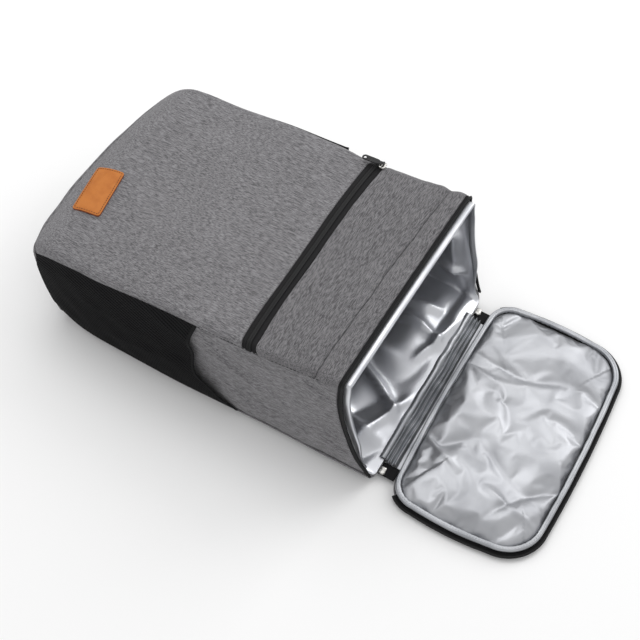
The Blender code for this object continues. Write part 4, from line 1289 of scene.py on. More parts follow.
def slider_draft(centre: np.ndarray, length: float, width: float, height: float) -> Draft:
    """A zip slider's waisted, domed body, its length along y.

    Args:
        centre: the middle of its foot.
        length: its size along y.
        width: its size along x.
        height: its height.

    Returns:
        The body.
    """
    shares = np.linspace(-0.5, 0.5, 15)
    half = np.interp(shares, (-0.5, -0.36, -0.12, 0.12, 0.36, 0.5), (0.30, 0.46, 0.50, 0.43, 0.46, 0.36))
    outline = np.concatenate([np.stack([half * width, shares * length], -1),
                              np.stack([-half[::-1] * width, shares[::-1] * length], -1)])
    rings = []
    for share, inset in ((0.0, 0.88), (0.10, 0.97), (0.28, 1.0), (0.40, 0.98), (0.44, 0.90), (0.52, 0.90),
                         (0.56, 0.98), (0.75, 1.0), (0.92, 0.94), (1.0, 0.80)):
        rings.append(np.column_stack([outline * inset, np.full(len(outline), height * share)]))
    draft = tube_draft(np.array(rings), closed=False)
    draft.points = draft.points + centre
    return draft


def rod_draft(start: np.ndarray, end: np.ndarray, radius: float, sides: int = 14) -> Draft:
    """A round rod with softened ends between two points."""
    axis = (end - start) / np.linalg.norm(end - start)
    other = np.array((0.0, 0.0, 1.0)) if abs(axis[2]) < 0.9 else np.array((1.0, 0.0, 0.0))
    side = np.cross(axis, other)
    side /= np.linalg.norm(side)
    lift = np.cross(side, axis)
    turns = np.arange(sides) * TAU / sides
    circle = side * np.cos(turns)[:, None] + lift * np.sin(turns)[:, None]
    soft = radius * 0.2
    rings = [start + circle * radius * 0.8, start + axis * soft + circle * radius,
             end - axis * soft + circle * radius, end + circle * radius * 0.8]
    return tube_draft(np.array(rings), closed=False)


def arch_draft(foot: np.ndarray, half: float, rise: float, radius: float) -> Draft:
    """A round wire arch over a slider, across y."""
    turns = np.linspace(0, math.pi, 21)
    across = -half * np.sign(np.cos(turns)) * np.abs(np.cos(turns)) ** 0.6
    up = (rise + radius) * np.abs(np.sin(turns)) ** 0.45
    path = foot + np.stack([np.zeros(21), across, up], -1)
    lift = np.cross(unit(np.gradient(path, axis=0)), (1.0, 0.0, 0.0))
    round_ = np.arange(10) * TAU / 10
    rings = path[:, None] + radius * (np.cos(round_)[None, :, None] * np.array((1.0, 0, 0))
                                      + np.sin(round_)[None, :, None] * lift[:, None])
    return tube_draft(rings, closed=False)


# The panels


@dataclass
class FrontPanels:
    """The pocket panel, the upper panel and the band beside the mouth."""

    tube: BagTube
    finishes: Finishes
    zip_line: PocketZip
    seam_gap: float = 0.0003
    crease_x: float = 0.3560
    crease_lean: float = 0.0105
    crease_sink: float = 0.0014
    zip_hollow: float = 0.0007
    flat_share: float = 0.76
    pocket_creases: tuple[Crease, ...] = (
        Crease((0.005, 0.105), (0.055, 0.128), 0.006, 0.0011),
        Crease((0.030, -0.130), (0.160, -0.120), 0.009, -0.0009, 0.006),
        Crease((0.120, 0.120), (0.235, 0.128), 0.008, 0.0008),
    )
    upper_creases: tuple[Crease, ...] = (
        Crease((0.330, -0.080), (0.361, -0.142), 0.0035, 0.0016),
        Crease((0.318, -0.100), (0.352, -0.146), 0.005, -0.0012),
        Crease((0.335, 0.118), (0.366, 0.100), 0.004, -0.0014),
        Crease((0.350, 0.060), (0.366, 0.030), 0.004, -0.0008),
    )

    def _metres(self, along: np.ndarray, q: np.ndarray) -> tuple[np.ndarray, np.ndarray]:
        """Rough x and y of a place on the front, in metres."""
        x = self.tube.front_start + along * self.tube.front_length
        across = (q - 0.5) * 2 * self.tube.half_width * 0.5 / (0.5 - self.tube.arc_share)
        return x, across * self.flat_share

    def pocket_relief(self, along: np.ndarray, q: np.ndarray) -> np.ndarray:
        """Soft swells of the pocket panel, and a shallow hollow beside the zip."""
        x, y = self._metres(along, q)
        calm = 1 - (1 - smooth_step(0.052, 0.075, x)) * smooth_step(0.0, 0.5, 1.3 * hump(y, -0.048, 0.055))
        swell = calm * (Waves(11, 0.0007, 0.11).at(x, y) + Waves(12, 0.00025, 0.035).at(x, y))
        edge = smooth_step(0.0, self.tube.arc_share * 1.4, np.minimum(q, 1 - q))
        near_zip = hump(x, self.zip_line.from_bottom - 0.030, 0.012)
        folds = sum(crease.at(x, y) for crease in self.pocket_creases)
        return swell + edge * self.tube.shoulder(along) - self.zip_hollow * near_zip + calm * folds

    def crease(self, q: np.ndarray) -> np.ndarray:
        """x of the crease seam beside the mouth, which wanders a little."""
        wander = Waves(17, 0.0006, 0.05).at(q * 0.29, np.zeros(np.shape(q)))
        return self.crease_x + self.crease_lean * q * q + wander

    def _crease_share(self, q: np.ndarray, gap: float) -> np.ndarray:
        """The crease seam as a share of the front, with a gap beside it."""
        return (self.crease(q) + gap - self.tube.front_start) / self.tube.front_length

    def upper_relief(self, along: np.ndarray, q: np.ndarray) -> np.ndarray:
        """Soft swells of the upper panel, and the puckers that lead into the crease seam."""
        x, y = self._metres(along, q)
        swell = Waves(13, 0.0005, 0.07).at(x, y) + Waves(14, 0.0002, 0.022).at(x, y)
        seam_x = self.crease(q)
        pull = -self.crease_sink * hump(x, seam_x, 0.0050) + 0.0010 * hump(x, seam_x - 0.012, 0.006)
        return swell + pull + sum(crease.at(x, y) for crease in self.upper_creases)

    def band_relief(self, along: np.ndarray, q: np.ndarray) -> np.ndarray:
        """The band's swell between the crease seam and the mouth's zip, gathered at both."""
        x, y = self._metres(along, q)
        seam_x = self.crease(q)
        pull = -self.crease_sink * hump(x, seam_x, 0.0050) + 0.0008 * hump(x, seam_x + 0.012, 0.006)
        gathers = Waves(16, 0.00022, 0.010).at(x * 0.3, y)
        return pull + gathers + Waves(15, 0.0004, 0.05).at(x, y)

    def build(self) -> list[bpy.types.Object]:
        """Builds the three panels."""
        gap = self.seam_gap / self.tube.front_length
        low, high = self.zip_line.low, self.zip_line.high
        # across is the across melange, whose darker tone is painted shade.
        across, half_gap = self.finishes.melange_across_shaded, self.seam_gap / 2
        plans = (
            PanelPlan("front_pocket_panel_cloth", "front_pocket_panel", Wall.FRONT, level(0.0),
                      lambda q: low(q) - gap, self.finishes.melange_along, self.pocket_relief,
                      rows=110, columns=120),
            PanelPlan("upper_front_panel_cloth", "upper_front_panel", Wall.FRONT,
                      lambda q: high(q) + gap, lambda q: self._crease_share(q, -half_gap),
                      across, self.upper_relief, rows=46, columns=150, roll=0.0018),
            PanelPlan("mouth_band_cloth", "mouth_band", Wall.FRONT,
                      lambda q: self._crease_share(q, half_gap), level(1.0),
                      across, self.band_relief, rows=20, columns=150, roll=0.0018),
        )
        return [plan.build(self.tube) for plan in plans]


@dataclass
class SidePanels:
    """The two sides, with the soft folds of a padded wall that leans."""

    tube: BagTube
    finishes: Finishes
    recess: float = 0.0014
    near_depth: float = 2.4
    lean: float = 0.03
    height: float = 0.15
    seam_pitch: float = 0.0046
    seam_thread: float = 0.00050
    seam_fill: float = 0.8
    near_creases: tuple[Crease, ...] = (
        Crease((0.215, 0.132), (0.330, 0.070), 0.0045, 0.0016, 0.004),
        Crease((0.235, 0.118), (0.345, 0.048), 0.009, -0.0016, 0.004),
        Crease((0.305, 0.080), (0.395, 0.025), 0.005, 0.0012, -0.004),
        Crease((0.330, 0.052), (0.405, 0.046), 0.0028, 0.0008),
        Crease((0.345, 0.040), (0.408, 0.036), 0.0026, -0.0007),
        Crease((0.350, 0.062), (0.400, 0.066), 0.0030, -0.0006),
        Crease((0.345, 0.142), (0.385, 0.120), 0.004, -0.0011),
        Crease((0.225, 0.060), (0.300, 0.020), 0.008, 0.0010),
    )
    far_creases: tuple[Crease, ...] = (
        Crease((0.230, 0.120), (0.350, 0.080), 0.006, 0.0012, 0.004),
        Crease((0.250, 0.100), (0.380, 0.050), 0.009, -0.0013),
        Crease((0.340, 0.045), (0.410, 0.030), 0.004, 0.0008),
    )

    def _metres(self, along: np.ndarray, q: np.ndarray) -> tuple[np.ndarray, np.ndarray]:
        """Rough x and z of a place on a side, in metres."""
        x = self.tube.front_start + along * self.tube.front_length + self.lean * (1 - q)
        return x, q * self.height

    def near_relief(self, along: np.ndarray, q: np.ndarray) -> np.ndarray:
        """Folds of the near side, as the photograph shows them."""
        x, z = self._metres(along, q)
        folds = sum(crease.at(x, z) for crease in self.near_creases)
        return self.near_depth * folds + Waves(21, 0.0005, 0.06).at(x, z)

    def far_relief(self, along: np.ndarray, q: np.ndarray) -> np.ndarray:
        """Folds of the far side, which the photograph hides."""
        x, z = self._metres(along, q)
        return sum(crease.at(x, z) for crease in self.far_creases) + Waves(22, 0.0004, 0.06).at(x, z)

    def build(self) -> list[bpy.types.Object]:
        """Builds both sides."""
        pieces = []
        for wall, relief in ((Wall.NEAR, self.near_relief), (Wall.FAR, self.far_relief)):
            plan = PanelPlan(f"side_panel_{wall.value}_cloth", f"side_panel_{wall.value}", wall, level(0.0),
                             level(1.0), self.finishes.melange_along, relief, depth=self.recess, rows=150,
                             columns=60, roll=0.0024, edge_q=0.002)
            pieces += [plan.build(self.tube), self._seam(wall)]
        return pieces

    def _seam(self, wall: Wall) -> bpy.types.Object:
        """Stitches along the seam between this side and the front, in black thread that is painted shade for
        the seam's dark line.
        """
        along = np.linspace(0.03, 0.985, 220)
        path = self.tube.point(wall, along, np.ones(along.shape), np.full(along.shape, 0.0006))
        lift = np.array((0.0, wall.side * 0.7, 0.7))
        draft = stitch_draft(path, self.seam_pitch, self.seam_thread, lift, self.seam_fill)
        # The black thread stands in for the shade along the seam: painted shade.
        return make_piece(f"side_seam_{wall.value}_stitches", draft, self.finishes.black_thread)


@dataclass
class HiddenPanels:
    """The bottom, bowed out over the end of the tube, and the back that the bag lies on."""

    tube: BagTube
    finishes: Finishes
    clearance: float = 0.0003
    wall: float = 0.0045
    bulge: float = 0.007

    def _outline(self, z: np.ndarray, top: float, foot: float, width: float) -> np.ndarray:
        """Half width of the bottom seam at a height."""
        edge = self.tube.edge_radius
        above = np.clip(z - (top - edge), 0.0, edge)
        below = np.clip(self.tube.back_level + foot - z, 0.0, foot)
        shoulder = width - edge + np.sqrt(edge**2 - above**2)
        heel = width - foot + np.sqrt(foot**2 - below**2)
        return np.where(above > 0, shoulder, np.where(below > 0, heel, width))

    def build_bottom(self) -> bpy.types.Object:
        """The bottom panel."""
        tube = self.tube
        top = tube.mouth_height * tube.sections[0].height
        foot = tube.foot * tube.sections[0].foot
        width = float(tube.width(np.array(0.0)))
        turns = np.linspace(0, math.pi / 2, 9)
        heights = np.concatenate([
            tube.back_level + foot * (1 - np.cos(turns)),
            np.linspace(tube.back_level + foot, top - tube.edge_radius, 34)[1:-1],
            top - tube.edge_radius * (1 - np.sin(turns)),
        ])[:, None]
        across = np.linspace(-1, 1, 97)[None, :]
        up = (heights - tube.back_level) / (top - tube.back_level)
        y = across * self._outline(heights, top, foot, width)
        spread = y / width
        seam = np.minimum(np.minimum(1 - np.abs(across), 1 - np.abs(2 * up - 1)) * 0.06, 0.01)
        relief = Waves(41, 0.0005, 0.07).at(y, heights) - roll_drop(seam, 0.0016)

        def skin(outward: np.ndarray) -> np.ndarray:
            """The panel's surface at a distance outward."""
            swell = self.bulge * (1 - across**2) * np.sin(math.pi * np.clip(up, 0, 1))
            x = tube.lengthwise(np.zeros(y.shape), np.broadcast_to(up, y.shape), spread) - swell - outward
            edge = smooth_step(0.0, 0.22, 1 - np.abs(spread))
            rise = (tube.far_rise * spread + tube.crown * (1 - spread**2)) * up
            rise = rise + tube.shoulder(np.zeros(1)) * edge * np.clip(up, 0, 1) ** 5
            return np.stack([x, y, heights + rise], -1)

        outer = skin(self.clearance + self.wall + relief)
        inner = skin(np.full(y.shape, self.clearance))
        piece = make_piece("bottom_panel_cloth", shell_draft(outer, inner), self.finishes.melange_across_shaded,
                           ["bottom_panel"])
        return piece

    def build_back(self) -> bpy.types.Object:
        """The back panel, plain and lying on the straps."""
        plan = PanelPlan("back_panel_cloth", "back_panel", Wall.BACK, level(0.0), level(1.0),
                         self.finishes.melange_along,
                         lambda along, q: Waves(42, 0.00015, 0.08).at(along * 0.4, q * 0.3) - 0.0003,
                         rows=70, columns=60)
        return plan.build(self.tube)

    def build(self) -> list[bpy.types.Object]:
        """Builds both panels."""
        return [self.build_bottom(), self.build_back()]


@dataclass(frozen=True)
class HemRow:
    """A row of a pocket's mouth: its height share, reach along the bag, and gape share."""

    up: float
    reach: float
    gape: float


@dataclass
class MeshPockets:
    """The stretch mesh pocket of each side, with its elastic hem."""

    tube: BagTube
    finishes: Finishes
    gape: float = 0.0085
    recess: float = 0.0014
    clearance: float = 0.0003
    thickness: float = 0.0010
    height: float = 0.13
    hem_width: float = 0.0045
    hem_puff: float = 0.0016
    hem_groove: float = 0.0005
    hem_gather: float = 0.0032
    near: tuple[HemRow, ...] = (
        HemRow(0.00, 0.586, 0.06), HemRow(0.12, 0.560, 0.53), HemRow(0.24, 0.535, 0.88),
        HemRow(0.32, 0.507, 1.00), HemRow(0.42, 0.505, 0.94), HemRow(0.60, 0.520, 0.65),
        HemRow(0.80, 0.523, 0.35), HemRow(1.00, 0.545, 0.05),
    )
    far: tuple[HemRow, ...] = (
        HemRow(0.00, 0.590, 0.06), HemRow(0.20, 0.570, 0.76), HemRow(0.50, 0.560, 1.00),
        HemRow(0.80, 0.580, 0.98), HemRow(1.00, 0.588, 0.80),
    )
    drags: tuple[Crease, ...] = (
        Crease((0.060, 0.030), (0.200, 0.052), 0.009, 0.0016, 0.004),
        Crease((0.040, 0.085), (0.205, 0.070), 0.010, 0.0013, -0.005),
        Crease((0.100, 0.112), (0.205, 0.100), 0.007, -0.0009),
    )

    def _mouth(self, wall: Wall) -> tuple[HemRow, ...]:
        """The rows of a pocket's mouth."""
        return self.near if wall is Wall.NEAR else self.far

    def _place(self, wall: Wall, along: np.ndarray, q: np.ndarray, lift: np.ndarray) -> np.ndarray:
        """Points of a pocket's sheet, lifted off its inner side."""
        hem = self._mouth(wall)
        reach = read_table(hem, "up", "reach", q)
        gape = self.gape * read_table(hem, "up", "gape", q)
        stand_off = gape * (along / reach) ** 1.6
        return self.tube.point(wall, along, q, self.recess - self.clearance - stand_off - lift)

    def build_sheet(self, wall: Wall) -> bpy.types.Object:
        """The mesh itself, slack enough to show soft drags towards its hem."""
        q = np.linspace(0.003, 0.997, 61)
        reach = read_table(self._mouth(wall), "up", "reach", q)
        rows = np.linspace(0, 1, 121)[:, None]
        along = rows * reach
        spread = np.broadcast_to(q, along.shape)
        x, z = along * self.tube.front_length, spread * self.height
        seam = np.minimum(1.0, np.minimum(rows, np.minimum(spread, 1 - spread)) * 9)
        slack = sum(fold.at(x, z) for fold in self.drags) + Waves(51, 0.0005, 0.05).at(x, z)
        slack = np.maximum(slack, -0.0008) * seam
        outer = self._place(wall, along, spread, self.thickness + slack)
        inner = self._place(wall, along, spread, 0.0002 + slack)
        draft = shell_draft(outer, inner, cloth=np.stack([x, z], -1))
        return make_piece(f"mesh_pocket_{wall.value}_cloth", draft, self.finishes.mesh,
                          [f"mesh_pocket_{wall.value}"])

    def build_hem(self, wall: Wall) -> bpy.types.Object:
        """The hem: a folded elastic band, gathered a little."""
        q = np.linspace(0.003, 0.997, 161)
        reach = read_table(self._mouth(wall), "up", "reach", q)
        share = np.linspace(0, 1, 15)[:, None]
        along = reach - 0.0004 + share * self.hem_width / self.tube.front_length
        spread = np.broadcast_to(q, along.shape)
        gathers = 0.00012 * np.sin(TAU * spread * self.height / self.hem_gather)
        dome = np.sqrt(np.clip(1 - (2 * share - 1) ** 4, 0.02, 1))
        puff = self.hem_puff * dome - self.hem_groove * hump(share, 0.3, 0.07)
        outer = self._place(wall, along, spread, puff + gathers)
        inner = self._place(wall, along, spread, np.full(along.shape, -0.0001))
        draft = shell_draft(outer, inner, cloth=lay_cloth(outer))
        return make_piece(f"pocket_hem_{wall.value}_band", draft, self.finishes.hem,
                          [f"pocket_hem_{wall.value}"])

    def build(self) -> list[bpy.types.Object]:
        """Builds both pockets and their hems."""
        pieces = []
        for wall in (Wall.NEAR, Wall.FAR):
            sheet, hem = self.build_sheet(wall), self.build_hem(wall)
            pieces += [sheet, hem]
        return pieces


@dataclass
class LeatherPatch:
    """The bare leather patch, sewn on round its edge."""

    tube: BagTube
    finishes: Finishes
    length: float = 0.066
    width: float = 0.034
    thickness: float = 0.0026
    from_bottom: float = 0.0195
    off_middle: float = -0.048
    turn: float = math.radians(8.6)
    corner: float = 0.0034
    seam_inset: float = 0.0022
    stitch: float = 0.0031
    thread: float = 0.00034
    steps: int = 160
    edge_rings: int = 3
    profile: tuple[TableRow, ...] = (
        TableRow(0.0003, 0.0, -0.0006),
        TableRow(0.0, 0.35),
        TableRow(0.0, 0.72),
        TableRow(0.0002, 0.90),
        TableRow(0.0007, 1.0),
        TableRow(0.0014, 1.0),
        TableRow(0.0019, 1.0, -0.00022),
        TableRow(0.0025, 1.0, -0.00022),
        TableRow(0.0031, 1.0),
        TableRow(0.0060, 1.0, 0.0001),
        TableRow(0.0100, 1.0, 0.0001),
        TableRow(0.0150, 1.0, 0.0001),
    )

    def _level(self, x: np.ndarray, y: np.ndarray) -> np.ndarray:
        """Height of the front panel at places seen from above."""
        along = (x - self.tube.front_start) / self.tube.front_length
        for _ in range(12):
            off = self.tube.lengthwise(along, np.ones(along.shape), y / self.tube.half_width) - x
            along = along - off / self.tube.front_length
        return self.tube.top(along, y / self.tube.width(along)) + self.tube.shoulder(along)

    def place(self, short: np.ndarray, long: np.ndarray, lift: np.ndarray, tiny: float = 1e-4) -> np.ndarray:
        """Points over the front panel, in the patch's own directions."""
        cos, sin = math.cos(self.turn), math.sin(self.turn)
        x = self.tube.front_start + self.from_bottom + short * cos - long * sin
        y = self.off_middle + short * sin + long * cos
        slope_x = (self._level(x + tiny, y) - self._level(x - tiny, y)) / (2 * tiny)
        slope_y = (self._level(x, y + tiny) - self._level(x, y - tiny)) / (2 * tiny)
        normal = unit(np.stack([-slope_x, -slope_y, np.ones(x.shape)], -1))
        return np.stack([x, y, self._level(x, y)], -1) + normal * np.asarray(lift)[..., None]

    def outline(self, inset: float, count: int = 9) -> tuple[np.ndarray, np.ndarray]:
        """The rounded outline drawn in, as short and long coordinates."""
        shorts, longs = [], []
        radius = max(self.corner - inset, 0.0004)
        for side_short, side_long, start in ((1, 1, 0), (-1, 1, 90), (-1, -1, 180), (1, -1, 270)):
            turns = np.radians(start + np.linspace(0, 90, count))
            shorts.append(side_short * (self.width / 2 - inset - radius) + radius * np.cos(turns))
            longs.append(side_long * (self.length / 2 - inset - radius) + radius * np.sin(turns))
        return self._with_sides(np.concatenate(shorts), np.concatenate(longs))

    def _with_sides(self, short: np.ndarray, long: np.ndarray) -> tuple[np.ndarray, np.ndarray]:
        """The outline with even points along its straight sides."""
        path = np.stack([short, long], -1)
        path = np.concatenate([path, path[:1]])
        run = lengths(path)
        even = read_path(path, run, np.linspace(0, run[-1], self.steps + 1)[:-1])
        return even[:, 0], even[:, 1]

    def build(self) -> list[bpy.types.Object]:
        """Builds the patch, its cut edge and its stitches."""
        top = self.thickness + 0.0003
        rows = []
        for row in self.profile:
            short, long = self.outline(row.key)
            rows.append(self.place(short, long, np.full(short.shape, top * row.first + row.second)))
        draft = tube_draft(np.array(rows), closed=False)
        patch = make_piece("leather_patch_hide", draft, self.finishes.leather,
                           ["leather_patch"], sharp=70)
        patch.data.materials.append(self.finishes.leather_edge)
        for index in range(self.edge_rings * self.steps):
            patch.data.polygons[index].material_index = 1
        short, long = self.outline(self.seam_inset)
        short, long = np.append(short, short[0]), np.append(long, long[0])
        seam = self.place(short, long, np.full(short.shape, top - 0.00005))
        up = unit(self.place(short, long, np.full(short.shape, top + 0.001)) - seam)
        stitches = make_piece("leather_patch_stitches", stitch_draft(seam, self.stitch, self.thread, up),
                              self.finishes.patch_thread)
        return [patch, stitches]


# The mouth and the lining


@dataclass
class Mouth:
    """The zip round the mouth: tape and open coil from one end of the hinge to the other."""

    tube: BagTube
    finishes: Finishes
    tape_width: float = 0.0062
    far_end: float = 0.5
    tape_thickness: float = 0.0016
    tape_recess: float = 0.0006
    coil_width: float = 0.0025
    coil_height: float = 0.0012
    tooth: float = 0.0017
    clearance: float = 0.0003
    outer_ridge: float = 0.0004
    inner_ridge: float = 0.0003

    def _band(self, along: np.ndarray, depth: np.ndarray, counts: tuple[int, int]) -> np.ndarray:
        """A grid up the near side, over the front and down the far side."""
        side = np.linspace(0, 1, counts[0])
        front = self.tube.front_stops(counts[1], per_arc=8)
        parts, start = [], 0
        for wall, q in ((Wall.NEAR, side), (Wall.FRONT, front[1:]), (Wall.FAR, side[::-1][1:])):
            part = depth[:, start:start + len(q)] if depth.shape[1] > 1 else depth
            grid = np.broadcast_to(along, (along.shape[0], len(q)))
            if wall is Wall.FAR:
                narrow = self.far_end + (1 - self.far_end) * smooth_step(0.0, 0.6, q)
                grid = 1.0 + (grid - 1.0) * narrow
            parts.append(self.tube.point(wall, grid, np.broadcast_to(q, grid.shape),
                                         np.broadcast_to(part, grid.shape)))
            start += len(q)
        return np.concatenate(parts, axis=1)

    def build_tape(self) -> bpy.types.Object:
        """The tape, its outer edge rolled and its inner edge under the coil."""
        gap, end, counts = self.clearance, self.tape_width, (90, 160)
        share = np.linspace(0, 1, 13)[:, None]
        along = 1.0 + (gap + (end - gap) * share) / self.tube.front_length
        relief = self.outer_ridge * hump(share, 0.18, 0.08) + self.inner_ridge * hump(share, 0.55, 0.06)
        outer = self._band(along, self.tape_recess - relief, counts)
        inner = self._band(along, np.full(share.shape, self.tape_recess + self.tape_thickness), counts)
        draft = shell_draft(outer, inner, cloth=lay_cloth(outer))
        return make_piece("mouth_zip_tape_cloth", draft, self.finishes.tape, ["mouth_zip_tape"])

    def build_coil(self) -> bpy.types.Object:
        """The open half of the coil, tooth by tooth."""
        share = np.linspace(0, 1, 7)[:, None]
        along = 1.0 + (self.tape_width - self.coil_width * (1 - share)) / self.tube.front_length
        counts = (330, 620)
        flat = self._band(along, np.full((7, 1), self.tape_recess), counts)
        run = lay_cloth(flat)[0, :, 0][None, :]
        teeth = 0.5 + 0.5 * np.sin(TAU * run / self.tooth)
        arch = np.sin(math.pi * np.clip(share * 0.9 + 0.05, 0, 1))
        rise = self.coil_height * arch * (0.55 + 0.45 * teeth)
        base = self.tape_recess - self.clearance
        outer = self._band(along, base - rise, counts)
        inner = self._band(along, np.full((7, 1), base), counts)
        draft = shell_draft(outer, inner, cloth=lay_cloth(outer))
        return make_piece("mouth_zip_coil_teeth", draft, self.finishes.coil, ["mouth_zip_coil"])

    def build_sliders(self) -> list[bpy.types.Object]:
        """The plain slider at each end of the zip."""
        sliders = []
        for side in ("near", "far"):
            foot, size = solid_foot(f"mouth_slider_{side}")
            draft = slider_draft(foot, size[1], size[0], size[2])
            sliders.append(make_piece(f"mouth_slider_{side}_cast", draft, self.finishes.metal,
                                      [f"mouth_slider_{side}"]))
        return sliders

    def build(self) -> list[bpy.types.Object]:
        """Builds the tape, coil and sliders."""
        return [self.build_tape(), self.build_coil(), *self.build_sliders()]


@dataclass
class TubLining:
    """The silver compartment: a loose film tub inside the panels, with a gathered hem at the mouth."""

    tube: BagTube
    finishes: Finishes
    depth: float = 0.0054
    film: float = 0.0006
    lip: float = 0.0125
    start: float = 0.02
    inward_cap: float = 0.015
    slide_cap: float = 0.006
    hem_rise: float = 0.0018
    hem_rib: float = 0.00045
    hem_pitch: float = 0.0034
    run: ClothRun = ClothRun(growth=0.05, pressure=-0.25, gravity=0.0, frames=24, bending=0.25)
    floor_folds: tuple[Crease, ...] = (
        Crease((0.330, -0.010), (0.425, -0.062), 0.006, 0.010, 0.006),
        Crease((0.300, -0.060), (0.420, -0.098), 0.007, 0.009, -0.006),
        Crease((0.345, 0.062), (0.425, 0.050), 0.006, 0.009, 0.008),
        Crease((0.300, 0.085), (0.400, 0.098), 0.008, 0.007, -0.004),
        Crease((0.395, -0.110), (0.425, -0.020), 0.005, 0.006),
        Crease((0.402, 0.020), (0.424, 0.100), 0.005, 0.007),
        Crease((0.250, 0.030), (0.380, 0.010), 0.009, 0.008),
    )
    wall_folds: tuple[Crease, ...] = (
        Crease((0.380, 0.160), (0.420, 0.060), 0.005, 0.006),
        Crease((0.330, 0.120), (0.410, 0.090), 0.006, 0.008, 0.006),
        Crease((0.310, 0.060), (0.415, 0.045), 0.007, 0.010),
    )

    def _loop(self) -> list[tuple[Wall, np.ndarray]]:
        """The walls in order round the tub, with their stops."""
        side = np.linspace(0, 1, 38)
        front = self.tube.front_stops(66, per_arc=5)
        return [(Wall.NEAR, side[1:]), (Wall.FRONT, front[1:]), (Wall.FAR, side[::-1][1:]),
                (Wall.BACK, front[::-1][1:])]

    def _read(self, along: np.ndarray, what: Callable) -> np.ndarray:
        """Reads points or normals round the tub, the lip fading out down the sides."""
        parts = []
        for wall, q in self._loop():
            share = np.ones(q.shape)
            if wall is Wall.BACK:
                share = np.zeros(q.shape)
            elif wall is not Wall.FRONT:
                share = smooth_step(0.0, 0.4, q)
            grid = np.minimum(along[:, None], 1.0 + (along[:, None] - 1.0) * share)
            parts.append(what(wall, grid, np.broadcast_to(q, grid.shape)))
        return np.concatenate(parts, axis=1)

    def _liner(self, wall: Wall, along: np.ndarray, q: np.ndarray) -> np.ndarray:
        """Points of the taut tub."""
        return self.tube.point(wall, along, q, np.full(along.shape, self.depth))

    def _main_folds(self, base: np.ndarray) -> np.ndarray:
        """Inward rise of the folds that the photograph shows, over the floor and the far wall."""
        x, y, z = base[..., 0], base[..., 1], base[..., 2]
        low = 1 - smooth_step(0.02, 0.05, z)
        far = smooth_step(0.10, 0.135, y) * smooth_step(0.015, 0.05, z)
        near = smooth_step(0.10, 0.135, -y) * smooth_step(0.015, 0.05, z)
        floor = low * sum(fold.at(x, y) for fold in self.floor_folds)
        return floor + (far + near * 0.8) * sum(fold.at(x, z) for fold in self.wall_folds)

    def build(self) -> list[bpy.types.Object]:
        """Builds the tub and its hem."""
        rows = np.concatenate([np.linspace(self.start, 0.60, 26)[:-1], np.linspace(0.60, 1.0, 50)[:-1],
                               1.0 + np.linspace(0, self.lip / self.tube.front_length, 6)])
        base = self._read(rows, self._liner)
        out = self._read(rows, self.tube.outward)
        count, around = base.shape[:2]
        u = np.cumsum(np.linalg.norm(np.diff(base, axis=1, prepend=base[:, -1:]), axis=2), axis=1)
        free = smooth_step(0.03, 0.12, rows)[:, None] * smooth_step(0.0, 0.045, 1.0 - rows)[:, None]
        loose = self._main_folds(base) + np.abs(Waves(61, 0.0050, 0.09).at(rows[:, None] * 0.4, u))
        begin = base - out * (loose * free)[..., None]
        faces = grid_quads(count, around, wrap=True).tolist()
        settled = begin
        held = np.zeros((count, around), dtype=bool)
        held[:2] = True
        held[rows > 0.999] = True
        settled = self.run.settle(begin.reshape(-1, 3), faces, held.ravel()).reshape(base.shape)
        moved = settled - base
        inward = -np.sum(moved * out, -1, keepdims=True)
        slide = moved + out * inward
        reach = np.linalg.norm(slide, axis=-1, keepdims=True)
        slide = slide * np.minimum(1.0, self.slide_cap / np.maximum(reach, 1e-9))
        skin = base + slide - out * np.clip(inward, 0.0, self.inward_cap)
        inner = skin - out * self.film
        points, more = self._close_bottom(skin, inner)
        sheet = shell_draft(skin, inner, wrap=True)
        draft = Draft(np.concatenate([sheet.points, points]), sheet.faces + more)
        tub = make_piece("lining_tub_film", draft, self.finishes.tub_foil, ["lining_tub"], sharp=180)
        hem = self.build_hem()
        return [tub, hem]

    @staticmethod
    def _close_bottom(outer: np.ndarray, inner: np.ndarray) -> tuple[np.ndarray, list]:
        """Rings that draw the tub's end in to its middle, on one skin."""
        around = outer.shape[1]
        size = outer.shape[0] * around
        ring = inner[0]
        middle = ring.mean(axis=0)
        shares = (0.97, 0.85, 0.65, 0.42, 0.20, 0.05)
        points = np.concatenate([middle + (ring - middle) * share + (0.0008, 0, 0) for share in shares])
        faces, before = [], list(range(size, size + around))
        for index in range(len(shares)):
            now = list(range(2 * size + index * around, 2 * size + (index + 1) * around))
            turned, turned_before = now[1:] + now[:1], before[1:] + before[:1]
            faces += [list(face) for face in zip(before, turned_before, turned, now)]
            before = now
        return points, faces + [before]

    def build_hem(self) -> bpy.types.Object:
        """The ribbed hem that binds the film inside the mouth's tape."""
        share = np.linspace(0, 1, 11)
        lip = self.lip / self.tube.front_length
        along = 1.0 + lip * (0.42 + 0.62 * share)
        flat = self._read(along, self._liner)
        out = self._read(along, self.tube.outward)
        keep = flat.shape[1] - len(self._loop()[-1][1])
        flat, out = flat[:, :keep], out[:, :keep]
        run = lay_cloth(flat)[0, :, 0]
        dense = np.linspace(0, run[-1], 900)
        flat, out = resample(flat, run, dense), resample(out, run, dense)
        ribs = self.hem_rib * np.sin(TAU * dense / self.hem_pitch + 1.3 * np.sin(TAU * dense / 0.043))
        arch = np.sin(math.pi * share)[:, None]
        rise = self.hem_rise + ribs * arch + self.hem_rise / 2 * arch**0.5
        draft = shell_draft(flat - out * 0.0004, flat - out * rise[..., None])
        return make_piece("lining_hem", draft, self.finishes.rim_foil)


# The lid


